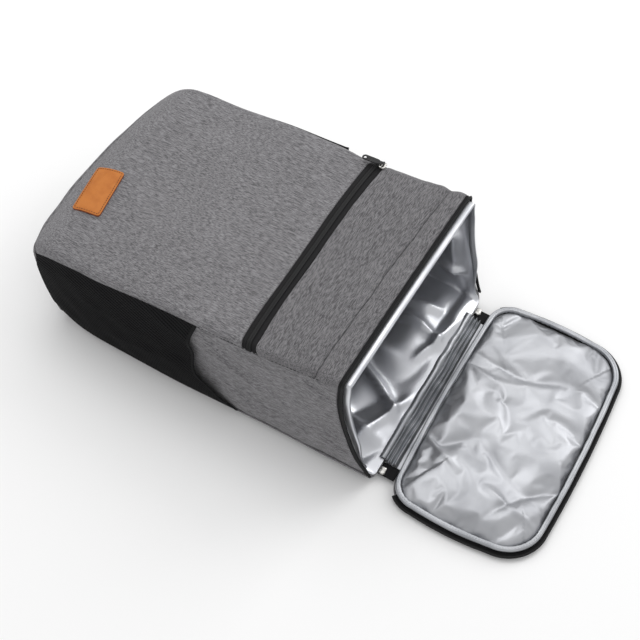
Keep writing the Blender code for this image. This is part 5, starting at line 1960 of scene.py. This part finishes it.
@dataclass
class Lid:
    """The unzipped lid lying open: shell, zip, rolled rim and quilted silver lining."""

    finishes: Finishes
    depth: float = 0.1805
    half_width: float = 0.1555
    hinge_x: float = 0.4475
    off_middle: float = -0.0005
    turn: float = math.radians(2.2)
    outer_radius: float = 0.051
    hinge_radius: float = 0.036
    side_bow: float = 0.003
    shell_rows: tuple[TableRow, ...] = (
        TableRow(0.0300, 0.0000),
        TableRow(0.0120, 0.0000),
        TableRow(0.0055, 0.0001),
        TableRow(0.0043, 0.0007),
        TableRow(0.0040, 0.0014),
        TableRow(0.0040, 0.0028),
        TableRow(0.0043, 0.0036),
        TableRow(0.0055, 0.0041),
        TableRow(0.0120, 0.0042),
        TableRow(0.0300, 0.0042),
    )
    tape_width: float = 0.012
    tape_thickness: float = 0.0015
    tape_end: float = 0.014
    tape_level: float = 0.0045
    tape_rows: tuple[TableRow, ...] = (
        TableRow(0.0, 0.0002),
        TableRow(0.0, 0.0012),
        TableRow(0.0006, 0.0015),
        TableRow(0.0030, 0.0017),
        TableRow(0.0045, 0.0015),
        TableRow(0.0090, 0.0015),
        TableRow(0.0120, 0.0014),
    )
    rim_inset: float = 0.0080
    rim_radius: float = 0.0040
    rim_level: float = 0.0106
    rim_ridge: float = 0.0009
    rim_gather: float = 0.0062
    seam_turn: float = 1.52
    seam_pitch: float = 0.0034
    seam_thread: float = 0.00026
    lining_inset: float = 0.0111
    puff: float = 0.0105
    puff_reach: float = 0.040
    slide_cap: float = 0.004
    groove: float = 0.0016
    tooth: float = 0.0017
    rise_cap: float = 0.0215
    run: ClothRun = ClothRun(growth=0.022, pressure=0.35, gravity=0.0, frames=20, bending=4.0)
    quilt_folds: tuple[Crease, ...] = (
        Crease((0.020, -0.105), (0.075, -0.030), 0.010, -0.0040, 0.012),
        Crease((0.070, -0.035), (0.160, -0.075), 0.011, -0.0042, -0.010),
        Crease((0.035, 0.030), (0.090, -0.010), 0.012, -0.0035, 0.014),
        Crease((0.020, 0.095), (0.085, 0.060), 0.009, -0.0040, -0.012),
        Crease((0.085, 0.060), (0.165, 0.075), 0.010, -0.0030, 0.010),
        Crease((0.100, -0.090), (0.170, -0.110), 0.006, 0.0026),
        Crease((0.115, -0.115), (0.160, -0.060), 0.006, -0.0034, 0.005),
        Crease((0.010, -0.060), (0.060, -0.085), 0.005, 0.0022),
        Crease((0.012, 0.050), (0.050, 0.040), 0.004, 0.0020),
        Crease((0.012, 0.068), (0.055, 0.062), 0.004, -0.0022),
        Crease((0.100, 0.020), (0.175, 0.010), 0.014, -0.0022, 0.01),
        Crease((0.150, -0.080), (0.176, -0.095), 0.003, -0.0016),
        Crease((0.155, -0.110), (0.172, -0.122), 0.003, 0.0014),
        Crease((0.125, -0.128), (0.140, -0.148), 0.003, -0.0014),
        Crease((0.060, -0.120), (0.058, -0.148), 0.004, -0.0016),
        Crease((0.150, 0.100), (0.172, 0.118), 0.004, -0.0016),
    )

    def place(self, deep: np.ndarray, across: np.ndarray, z: np.ndarray) -> np.ndarray:
        """Points of the lid: deep from its hinge edge, across from its middle."""
        cos, sin = math.cos(self.turn), math.sin(self.turn)
        x = self.hinge_x + deep * cos - across * sin
        y = self.off_middle + across * cos + deep * sin
        return np.stack(np.broadcast_arrays(x, y, z), -1)

    def outline(self, inset: float, per_corner: int = 26,
                per_side: int = 40) -> tuple[np.ndarray, np.ndarray]:
        """The rounded outline, inset evenly from the lid's edge.

        Args:
            inset: how far it is drawn in.
            per_corner: steps round each corner.
            per_side: steps along each side.

        Returns:
            The deep and across coordinates, in order round the lid.
        """
        arcs = []
        corners = ((self.depth, -1, self.outer_radius, -90), (self.depth, 1, self.outer_radius, 0),
                   (0.0, 1, self.hinge_radius, 90), (0.0, -1, self.hinge_radius, 180))
        for deep, side, radius, start in corners:
            turns = np.radians(start + np.linspace(0, 90, per_corner + 1))
            centre = (deep - radius if deep else radius, side * (self.half_width - radius))
            arcs.append(np.stack([centre[0] + (radius - inset) * np.cos(turns),
                                  centre[1] + (radius - inset) * np.sin(turns)], -1))
        path = []
        share = np.linspace(0, 1, per_side + 1)[1:-1, None]
        for arc, after in zip(arcs, arcs[1:] + arcs[:1]):
            start, end = arc[-1], after[0]
            forward = (end - start) / np.linalg.norm(end - start)
            bow = self.side_bow * 4 * share * (1 - share)
            path += [arc, start + (end - start) * share + np.array((forward[1], -forward[0])) * bow]
        whole = np.concatenate(path)
        return whole[:, 0], whole[:, 1]

    def ring(self, inset: float, z: float) -> np.ndarray:
        """The outline as points at one height."""
        deep, across = self.outline(inset)
        return self.place(deep, across, np.full(deep.shape, z))

    def build_shell(self) -> bpy.types.Object:
        """The outer cloth of the lid, a soft flat pad lying on the floor."""
        rings = np.array([self.ring(row.key, row.first) for row in self.shell_rows])
        draft = tube_draft(rings, closed=False)
        piece = make_piece("lid_shell_cloth", draft, self.finishes.melange_across_shaded, ["lid_shell"])
        return piece

    def _free_edge(self) -> np.ndarray:
        """The outline's point numbers round the lid's free edge, in order."""
        deep, _ = self.outline(self.tape_width / 2)
        free = deep > self.tape_end
        start = next(i for i in range(len(deep)) if free[i] and not free[i - 1])
        return np.array([(start + k) % len(deep) for k in range(int(free.sum()))])

    def build_tape(self) -> list[bpy.types.Object]:
        """The zip's tape round the free edge, and its open coil."""
        order = self._free_edge()
        low = self.tape_level
        outer = np.array([self.ring(row.key, low + row.first)[order] for row in self.tape_rows])
        inner = np.array([self.ring(row.key, low)[order] for row in self.tape_rows])
        draft = shell_draft(outer, inner, cloth=lay_cloth(outer))
        tape = make_piece("lid_zip_tape_cloth", draft, self.finishes.tape, ["lid_zip_tape"])
        return [tape, self._build_coil(order)]

    def _build_coil(self, order: np.ndarray) -> bpy.types.Object:
        """The coil on the tape's outer half, tooth by tooth."""
        insets = np.linspace(0.0004, 0.0032, 7)
        flat = np.array([self.ring(inset, self.tape_level + 0.0015)[order] for inset in insets])
        run = lay_cloth(flat)[0, :, 0]
        dense = np.linspace(0, run[-1], int(run[-1] / self.tooth) * 4)
        grid = resample(flat, run, dense)
        teeth = 0.5 + 0.5 * np.sin(TAU * dense / self.tooth)
        arch = np.sin(np.linspace(0.1, math.pi - 0.1, len(insets)))[:, None]
        top = grid.copy()
        top[..., 2] += 0.0009 * arch * (0.55 + 0.45 * teeth)
        draft = shell_draft(top, grid - (0, 0, 0.0001))
        return make_piece("lid_zip_coil_teeth", draft, self.finishes.coil)

    def build_rim(self) -> list[bpy.types.Object]:
        """The rolled foil binding, ridged by its two seams and gathered towards the lining."""
        turns = np.arange(20) * TAU / 20
        run = lengths(self.ring(self.rim_inset, 0.0))
        length = run[-1]
        round_once = TAU * run / length
        wander = 2.2 * np.sin(round_once * 11)
        gather = 0.5 + 0.5 * np.sin(round_once * round(length / self.rim_gather) + wander)
        slow = Waves(71, 1.0, 0.05).at(run, np.zeros(run.shape))
        base = self.ring(self.rim_inset, 0.0)
        inward = unit(self.ring(self.rim_inset + 0.001, 0.0) - base)
        rings = []
        for turn in turns:
            inner_side = max(0.0, -math.cos(turn))
            ridge = self.rim_ridge * (hump(np.array(turn), 0.95, 0.30) + hump(np.array(turn), 2.25, 0.30))
            gathered = 0.0007 * inner_side * (gather - 0.4)
            radius = self.rim_radius + ridge - self.rim_ridge + gathered + 0.00018 * slow
            ring = base - inward * (radius * math.cos(turn))[:, None]
            ring[:, 2] = self.rim_level + radius * math.sin(turn)
            rings.append(ring)
        rings = np.array(rings).transpose(1, 0, 2)
        draft = tube_draft(rings, closed=True)
        rim = make_piece("lid_rim_binding", draft, self.finishes.rim_foil, ["lid_rim"], sharp=180)
        path = self.ring(self.rim_inset - self.rim_radius * math.cos(self.seam_turn),
                         self.rim_level + self.rim_radius * math.sin(self.seam_turn) - 0.0002)
        seam = stitch_draft(np.concatenate([path, path[:1]]), self.seam_pitch, self.seam_thread,
                            np.array((0.0, 0.0, 1.0)))
        stitches = make_piece("lid_rim_stitches", seam, self.finishes.grey_thread)
        return [rim, stitches]

    def _pad_grid(self, rows: int, columns: int) -> tuple[np.ndarray, np.ndarray, np.ndarray]:
        """A grid over the lining, drawn in at its round corners.

        Args:
            rows: points in depth.
            columns: points across.

        Returns:
            Deep and across coordinates, and each point's distance from the edge.
        """
        inset = self.lining_inset
        half_deep, half_across = self.depth / 2 - inset, self.half_width - inset
        u, v = np.meshgrid(np.linspace(-1, 1, rows), np.linspace(-1, 1, columns), indexing="ij")
        most = np.maximum(np.maximum(np.abs(u), np.abs(v)), 1e-9)
        edge = np.stack([np.abs(u) / most * half_deep, np.abs(v) / most * half_across], -1)
        radius = np.where(u > 0, self.outer_radius, self.hinge_radius) - inset
        centre = np.stack([half_deep - radius, half_across - radius], -1)
        a = np.sum(edge * edge, -1)
        b = -2 * np.sum(edge * centre, -1)
        c = np.sum(centre * centre, -1) - radius**2
        reach = (-b + np.sqrt(np.maximum(b * b - 4 * a * c, 0))) / (2 * a)
        in_corner = np.all(edge * reach[..., None] > centre, axis=-1) & (reach < 1)
        scale = np.where(in_corner, reach, 1.0)
        deep, across, bow = u * half_deep * scale, v * half_across * scale, self.side_bow
        across = across + np.sign(v) * bow * np.abs(v) * (1 - (deep / half_deep) ** 2)
        deep = deep + np.sign(u) * bow * np.abs(u) * (1 - (across / half_across / 1.03) ** 2)
        distance = (1 - most) * np.where(np.abs(u) > np.abs(v), half_deep, half_across)
        return deep + self.depth / 2, across, distance * scale

    def _quilt(self, deep: np.ndarray, across: np.ndarray, edge: np.ndarray) -> np.ndarray:
        """Rise of the lining over its seam: the pad's crown with the photograph's folds."""
        share = np.minimum(edge / self.puff_reach, 1.0)
        crown = np.sqrt(share * (2 - share))
        rise = self.puff * crown + share**0.5 * sum(fold.at(deep, across) for fold in self.quilt_folds)
        return rise + Waves(81, 0.0006, 0.045).at(deep, across) * share

    def build_lining(self) -> bpy.types.Object:
        """The padded silver lining, crumpled by a short cloth simulation."""
        rows, columns = 92, 150
        deep, across, edge = self._pad_grid(rows, columns)
        seam_level = self.tape_level + self.tape_thickness + 0.0012
        start = self.place(deep, across, seam_level + self._quilt(deep, across, edge) * 0.85)
        settled = start
        held = edge < 0.0012
        faces = grid_quads(rows, columns).tolist()
        settled = self.run.settle(start.reshape(-1, 3), faces, held.ravel()).reshape(start.shape)
        moved = settled - start
        side = moved * (1, 1, 0)
        far = np.linalg.norm(side, axis=-1, keepdims=True)
        side = side * np.minimum(1.0, self.slide_cap / np.maximum(far, 1e-9))
        inside = smooth_step(0.0, 0.006, edge)[..., None]
        skin = start + side * inside
        skin[..., 2] = np.clip(settled[..., 2], seam_level, self.rise_cap)
        groove = self.groove * hump(edge, 0.0, 0.0035) * (0.6 + 0.4 * Waves(82, 1.0, 0.02).at(deep, across))
        skin[..., 2] -= np.clip(groove, 0.0, self.groove)
        bottom = skin.copy()
        level_below = self.tape_level + self.tape_thickness + 0.0003
        bottom[..., 2] = np.minimum(level_below, skin[..., 2] - 0.0003)
        piece = make_piece("lid_lining_pad", shell_draft(skin, bottom), self.finishes.foil,
                           ["lid_lining"], sharp=180)
        return piece

    def build(self) -> list[bpy.types.Object]:
        """Builds the lid's pieces."""
        return [self.build_shell(), *self.build_tape(), *self.build_rim(), self.build_lining()]


@dataclass
class HingeStrip:
    """The pleated foil strip between the bag's back edge and the lid, with a black tab at each end."""

    tube: BagTube
    finishes: Finishes
    lid: Lid
    half_width: float = 0.112
    pleats: int = 3
    height: float = 0.0052
    thickness: float = 0.0016
    clearance: float = 0.0003
    flap: float = 0.009
    wall: float = 0.0045
    sill: tuple[TableRow, ...] = (
        TableRow(-0.0065, 0.0120),
        TableRow(-0.0030, 0.0130),
        TableRow(0.0004, 0.0119),
    )

    def _back_edge(self, y: np.ndarray) -> np.ndarray:
        """x of the bag's back edge at a place across."""
        end = self.tube.back_start + self.tube.back_length
        return end - self.tube.mouth_skew * y / self.tube.half_width + self.clearance

    def _lid_edge(self, y: np.ndarray, inset: float) -> np.ndarray:
        """x of the lid's hinge edge at a place across."""
        lid = self.lid
        across = y - lid.off_middle
        corner = np.maximum(np.abs(across) - (lid.half_width - lid.hinge_radius), 0.0)
        deep = lid.hinge_radius - np.sqrt(lid.hinge_radius**2 - corner**2) + inset
        return lid.place(deep, across, np.zeros(y.shape))[..., 0]

    def build_pleats(self) -> bpy.types.Object:
        """The strip, three soft pleats that wander and pinch along their length."""
        y = np.linspace(-self.half_width, self.half_width, 241)[:, None]
        share = np.linspace(0, 1, 61)[None, :]
        start, end = self._back_edge(y), self._lid_edge(y, 0.0)
        wander = Waves(91, 0.060, 0.05).at(y, np.zeros(y.shape))
        bent = np.clip(share + wander * np.sin(math.pi * share), 0, 1)
        wave = 0.5 - 0.5 * np.cos(TAU * self.pleats * bent)
        size = 1.0 + Waves(92, 0.26, 0.04).at(y, share * 0.03)
        pinch = 1 - 0.35 * hump(np.sin(TAU * y / 0.043), 1.0, 0.25) * smooth_step(0.2, 0.6, share)
        ripple = Waves(93, 0.00025, 0.006).at(y, share * 0.01)
        low = self.tube.back_level + self.wall / 2 - self.thickness / 2
        base = low + (self.lid.tape_level - low) * share
        z = base + self.height * wave**0.8 * np.clip(size * pinch, 0.5, 1.15) + ripple * wave
        flap_share = np.linspace(0, 1, 9)[None, 1:]
        flap_x = end + (self._lid_edge(y, self.flap) - end) * flap_share
        slack = Waves(94, 0.0005, 0.03).at(y, np.zeros(y.shape))
        sill_x = start + slack + np.array([[row.key for row in self.sill]])
        sill_z = 0.0004 + np.array([[row.first for row in self.sill]]) + 0.5 * np.abs(slack)
        x = np.concatenate([sill_x, start + (end - start) * share, flap_x], axis=1)
        z = np.concatenate([sill_z, z, np.full(flap_x.shape, self.lid.tape_level)], axis=1)
        z = np.maximum(z, 0.0040)
        lower = np.stack([x, np.broadcast_to(y, x.shape), z], -1)
        upper = lower + (0, 0, self.thickness * 0.9)
        piece = make_piece("hinge_gusset_pleats", shell_draft(upper, lower), self.finishes.rim_foil,
                           ["hinge_gusset"], sharp=180)
        return piece

    def build_tabs(self) -> list[bpy.types.Object]:
        """The folded black tab at each end of the strip."""
        tabs = []
        for side in ("near", "far"):
            low, high = (np.array(corner) - BAG_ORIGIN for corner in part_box(f"hinge_tab_{side}"))
            size = high - low
            u = np.linspace(0, 1, 29)[:, None]
            v = np.linspace(0, 1, 29)[None, :]
            edge = np.minimum(np.minimum(u, 1 - u) * size[0], np.minimum(v, 1 - v) * size[1])
            edge = np.broadcast_to(edge, (29, 29))
            fall = roll_drop(edge, 0.0007) + 0.0002 * hump(edge, 0.0022, 0.0005)
            x = np.broadcast_to(low[0] + size[0] * u, (29, 29))
            y = np.broadcast_to(low[1] + size[1] * v, (29, 29))
            middle = (low[2] + high[2]) / 2
            top = np.stack([x, y, high[2] - fall], -1)
            under = np.stack([x, y, low[2] + np.minimum(fall, middle - low[2] - 0.0001)], -1)
            draft = shell_draft(top, under, cloth=lay_cloth(top))
            tabs.append(make_piece(f"hinge_tab_{side}_web", draft, self.finishes.tape,
                                   [f"hinge_tab_{side}"]))
        return tabs

    def build(self) -> list[bpy.types.Object]:
        """Builds the strip and its tabs."""
        return [self.build_pleats(), *self.build_tabs()]


# The carrying straps


@dataclass
class Straps:
    """Two padded shoulder straps flat under the back, each with a ladder lock and a webbing."""

    tube: BagTube
    finishes: Finishes
    thickness: float = 0.0052
    width: float = 0.060
    length: float = 0.260
    from_mouth: float = 0.037
    top_spread: float = 0.046
    end_spread: float = 0.088
    bow: float = 0.014
    webbing_width: float = 0.025
    webbing_thickness: float = 0.0016
    webbing_spread: float = 0.018
    webbing_from_bottom: float = 0.012
    lock_length: float = 0.030
    seam_at: float = 0.86
    seam_pitch: float = 0.0040
    seam_thread: float = 0.00028
    clearance: float = 0.0003

    def _ends(self) -> tuple[float, float]:
        """x of a strap's upper and lower end."""
        top = self.tube.back_start + self.tube.back_length - self.from_mouth
        return top, top - self.length

    def build_strap(self, name: str, side: int) -> list[bpy.types.Object]:
        """A padded strap with a bound edge and a line of stitches inside it."""
        top, end = self._ends()
        share = np.linspace(0, 1, 121)
        half = self.width / 2 * (1 - 0.42 * smooth_step(0.82, 1.0, share))
        spread = self.top_spread + (self.end_spread - self.top_spread) * share
        x = top + (end - top) * share
        y = side * (spread + self.bow * np.sin(math.pi * share))
        turns = np.linspace(0, TAU, 48, endpoint=False)
        across = np.sign(np.cos(turns)) * np.abs(np.cos(turns)) ** 0.35
        up = np.sign(np.sin(turns)) * np.abs(np.sin(turns)) ** 0.8
        groove = 1 - 0.38 * hump(np.abs(across), self.seam_at, 0.035)
        swell = 0.5 + 0.5 * np.sin(TAU * share * self.length / 0.021)
        ripple = 1 - 0.06 * swell[:, None] * (np.abs(across) < 0.8)
        z = self.thickness / 2 * (1 + up * groove * ripple)
        rings = np.stack([np.broadcast_to(x[:, None], z.shape), y[:, None] + half[:, None] * across,
                          np.clip(z, 0.0, self.thickness)], -1)
        cloth = np.stack(np.broadcast_arrays((share * self.length)[:, None], across * self.width / 2), -1)
        strap = make_piece(f"shoulder_strap_{name}_pad", tube_draft(rings, closed=False, cloth=cloth),
                           self.finishes.strap, [f"shoulder_strap_{name}"])
        rows = []
        for edge in (-self.seam_at, self.seam_at):
            path = np.stack([x, y + half * edge, np.full(x.shape, 0.0009)], -1)
            down = np.array((0.0, 0.0, -1.0))
            rows.append(stitch_draft(path[3:-3], self.seam_pitch, self.seam_thread, down))
        seams = make_piece(f"shoulder_strap_{name}_stitches", join_drafts(rows),
                           self.finishes.black_thread)
        return [strap, seams]

    def build_webbing(self, name: str, side: int) -> bpy.types.Object:
        """The webbing from the ladder lock to the bag's bottom corner."""
        _, end = self._ends()
        start_x = end - self.lock_length - 2 * self.clearance
        end_x = self.tube.back_start + self.webbing_from_bottom
        low = (self.thickness - self.webbing_thickness) / 2
        high = self.thickness - self.webbing_thickness - self.clearance
        share = np.linspace(0, 1, 49)[None, :]
        x = start_x + (end_x - start_x) * share
        y = side * (self.end_spread + self.webbing_spread * share)
        base = low + (high - low) * smooth_step(0, 1, share)
        v = np.linspace(-1, 1, 17)[:, None]
        thick = self.webbing_thickness * (1 - 0.35 * np.abs(v) ** 6)
        shape = np.broadcast(x, v).shape
        under = np.stack([np.broadcast_to(x, shape), y + v * self.webbing_width / 2,
                          np.broadcast_to(base + self.webbing_thickness / 2 - thick / 2, shape)], -1)
        top = under + np.stack(np.broadcast_arrays(0 * x, 0 * v, thick), -1)
        return make_piece(f"strap_webbing_{name}_web", shell_draft(top, under, cloth=lay_cloth(top)),
                          self.finishes.strap, [f"strap_webbing_{name}"])

    def build(self) -> list[bpy.types.Object]:
        """Builds the straps and webbings, and dresses the ladder locks."""
        pieces = []
        for name, side in (("near", -1), ("far", 1)):
            pieces += self.build_strap(name, side)
            pieces.append(self.build_webbing(name, side))
            lock = frame["nodes"][f"ladder_lock_{name}"]
            lock.material_slots[0].material = self.finishes.plastic
        return pieces


# The studio


@dataclass(frozen=True)
class Softbox:
    """A large square light: where it stands, in metres from the bag's middle, its size and power."""

    name: str
    place: tuple[float, float, float]
    size: float
    power: float


@dataclass
class Studio:
    """The pale floor, the soft light and the camera at the photograph's angle."""

    azimuth: float = math.radians(26.9)
    elevation: float = math.radians(56.1)
    roll: float = math.radians(4.4)
    focal_pixels: float = 1450.0
    frame_pixels: float = 640.0
    distance: float = 1.67
    target: tuple[float, float, float] = (0.2912, -0.0126, 0.05)
    sensor: float = 36.0
    world: float = 0.78
    aim: tuple[float, float, float] = (0.0, 0.0, 0.08)
    floor_half: float = 6.0
    floor_level: float = -0.0002
    boxes: tuple[Softbox, ...] = (
        Softbox("key_light", (-0.7, 0.5, 1.9), 1.5, 14.0),
        Softbox("far_light", (0.6, 1.6, 1.4), 1.2, 12.0),
    )

    def build_camera(self) -> None:
        """Stands the camera where the photograph was taken from."""
        az, el = self.azimuth, self.elevation
        back = np.array((math.sin(az) * math.cos(el), -math.cos(az) * math.cos(el), math.sin(el)))
        right = np.array((math.cos(az), math.sin(az), 0.0))
        up = np.cross(back, right)
        cos, sin = math.cos(self.roll), math.sin(self.roll)
        right, up = cos * right + sin * up, cos * up - sin * right
        spot = np.array(self.target) + BAG_ORIGIN + back * self.distance
        data = bpy.data.cameras.new("photo_camera")
        data.sensor_width = self.sensor
        data.lens = self.focal_pixels / self.frame_pixels * self.sensor
        data.dof.use_dof = False
        camera = bpy.data.objects.new("photo_camera", data)
        matrix = Matrix.Identity(4)
        for column, axis in enumerate((right, up, back, spot)):
            for row in range(3):
                matrix[row][column] = float(axis[row])
        camera.matrix_world = matrix
        bpy.context.scene.collection.objects.link(camera)
        bpy.context.scene.camera = camera

    def build_light(self) -> None:
        """Lights the scene with a white world and soft boxes aimed at the bag."""
        world = bpy.data.worlds.new("white_studio")
        world.use_nodes = True
        background = world.node_tree.nodes["Background"]
        background.inputs["Color"].default_value = (1.0, 1.0, 1.0, 1.0)
        background.inputs["Strength"].default_value = self.world
        bpy.context.scene.world = world
        for box in self.boxes:
            data = bpy.data.lights.new(box.name, "AREA")
            data.size = box.size
            data.energy = box.power
            light = bpy.data.objects.new(box.name, data)
            light.location = box.place
            way = Vector(self.aim) - Vector(box.place)
            light.rotation_euler = way.to_track_quat("-Z", "Y").to_euler()
            bpy.context.scene.collection.objects.link(light)
        bpy.context.scene.view_settings.view_transform = "Standard"

    def build_floor(self) -> None:
        """Lays the floor just under the bag."""
        mesh = bpy.data.meshes.new("studio_floor")
        half, level_z = self.floor_half, self.floor_level
        corners = [(-half, -half, level_z), (half, -half, level_z), (half, half, level_z),
                   (-half, half, level_z)]
        mesh.from_pydata(corners, [], [(0, 1, 2, 3)])
        mesh.materials.append(PaleFloor().material())
        floor = bpy.data.objects.new("studio_floor", mesh)
        bpy.context.scene.collection.objects.link(floor)

    def build(self) -> None:
        """Sets up floor, light and camera."""
        self.build_floor()
        self.build_light()
        self.build_camera()


def list_cad_nodes() -> None:
    """Lists the CAD nodes that still show, so that none is left in its plain finish."""
    for name, node in sorted(frame["nodes"].items()):
        if not node.hide_render:
            log.info("CAD node %s shows, in %s", name, node.material_slots[0].material.name)


def main() -> None:
    """Builds the dressed cooler backpack."""
    logging.basicConfig(level=logging.INFO, format="%(name)s: %(message)s")
    finishes = Finishes()
    tube = BagTube()
    zip_line = PocketZip(tube, finishes)
    lid = Lid(finishes)
    Studio().build()
    assemblies = (
        FrontPanels(tube, finishes, zip_line),
        zip_line,
        SidePanels(tube, finishes),
        HiddenPanels(tube, finishes),
        MeshPockets(tube, finishes),
        LeatherPatch(tube, finishes),
        Mouth(tube, finishes),
        TubLining(tube, finishes),
        lid,
        HingeStrip(tube, finishes, lid),
        Straps(tube, finishes),
    )
    for assembly in assemblies:
        for piece in assembly.build():
            log.info("%s: %d faces", piece.name, len(piece.data.polygons))
    list_cad_nodes()


if __name__ == "__main__":
    main()
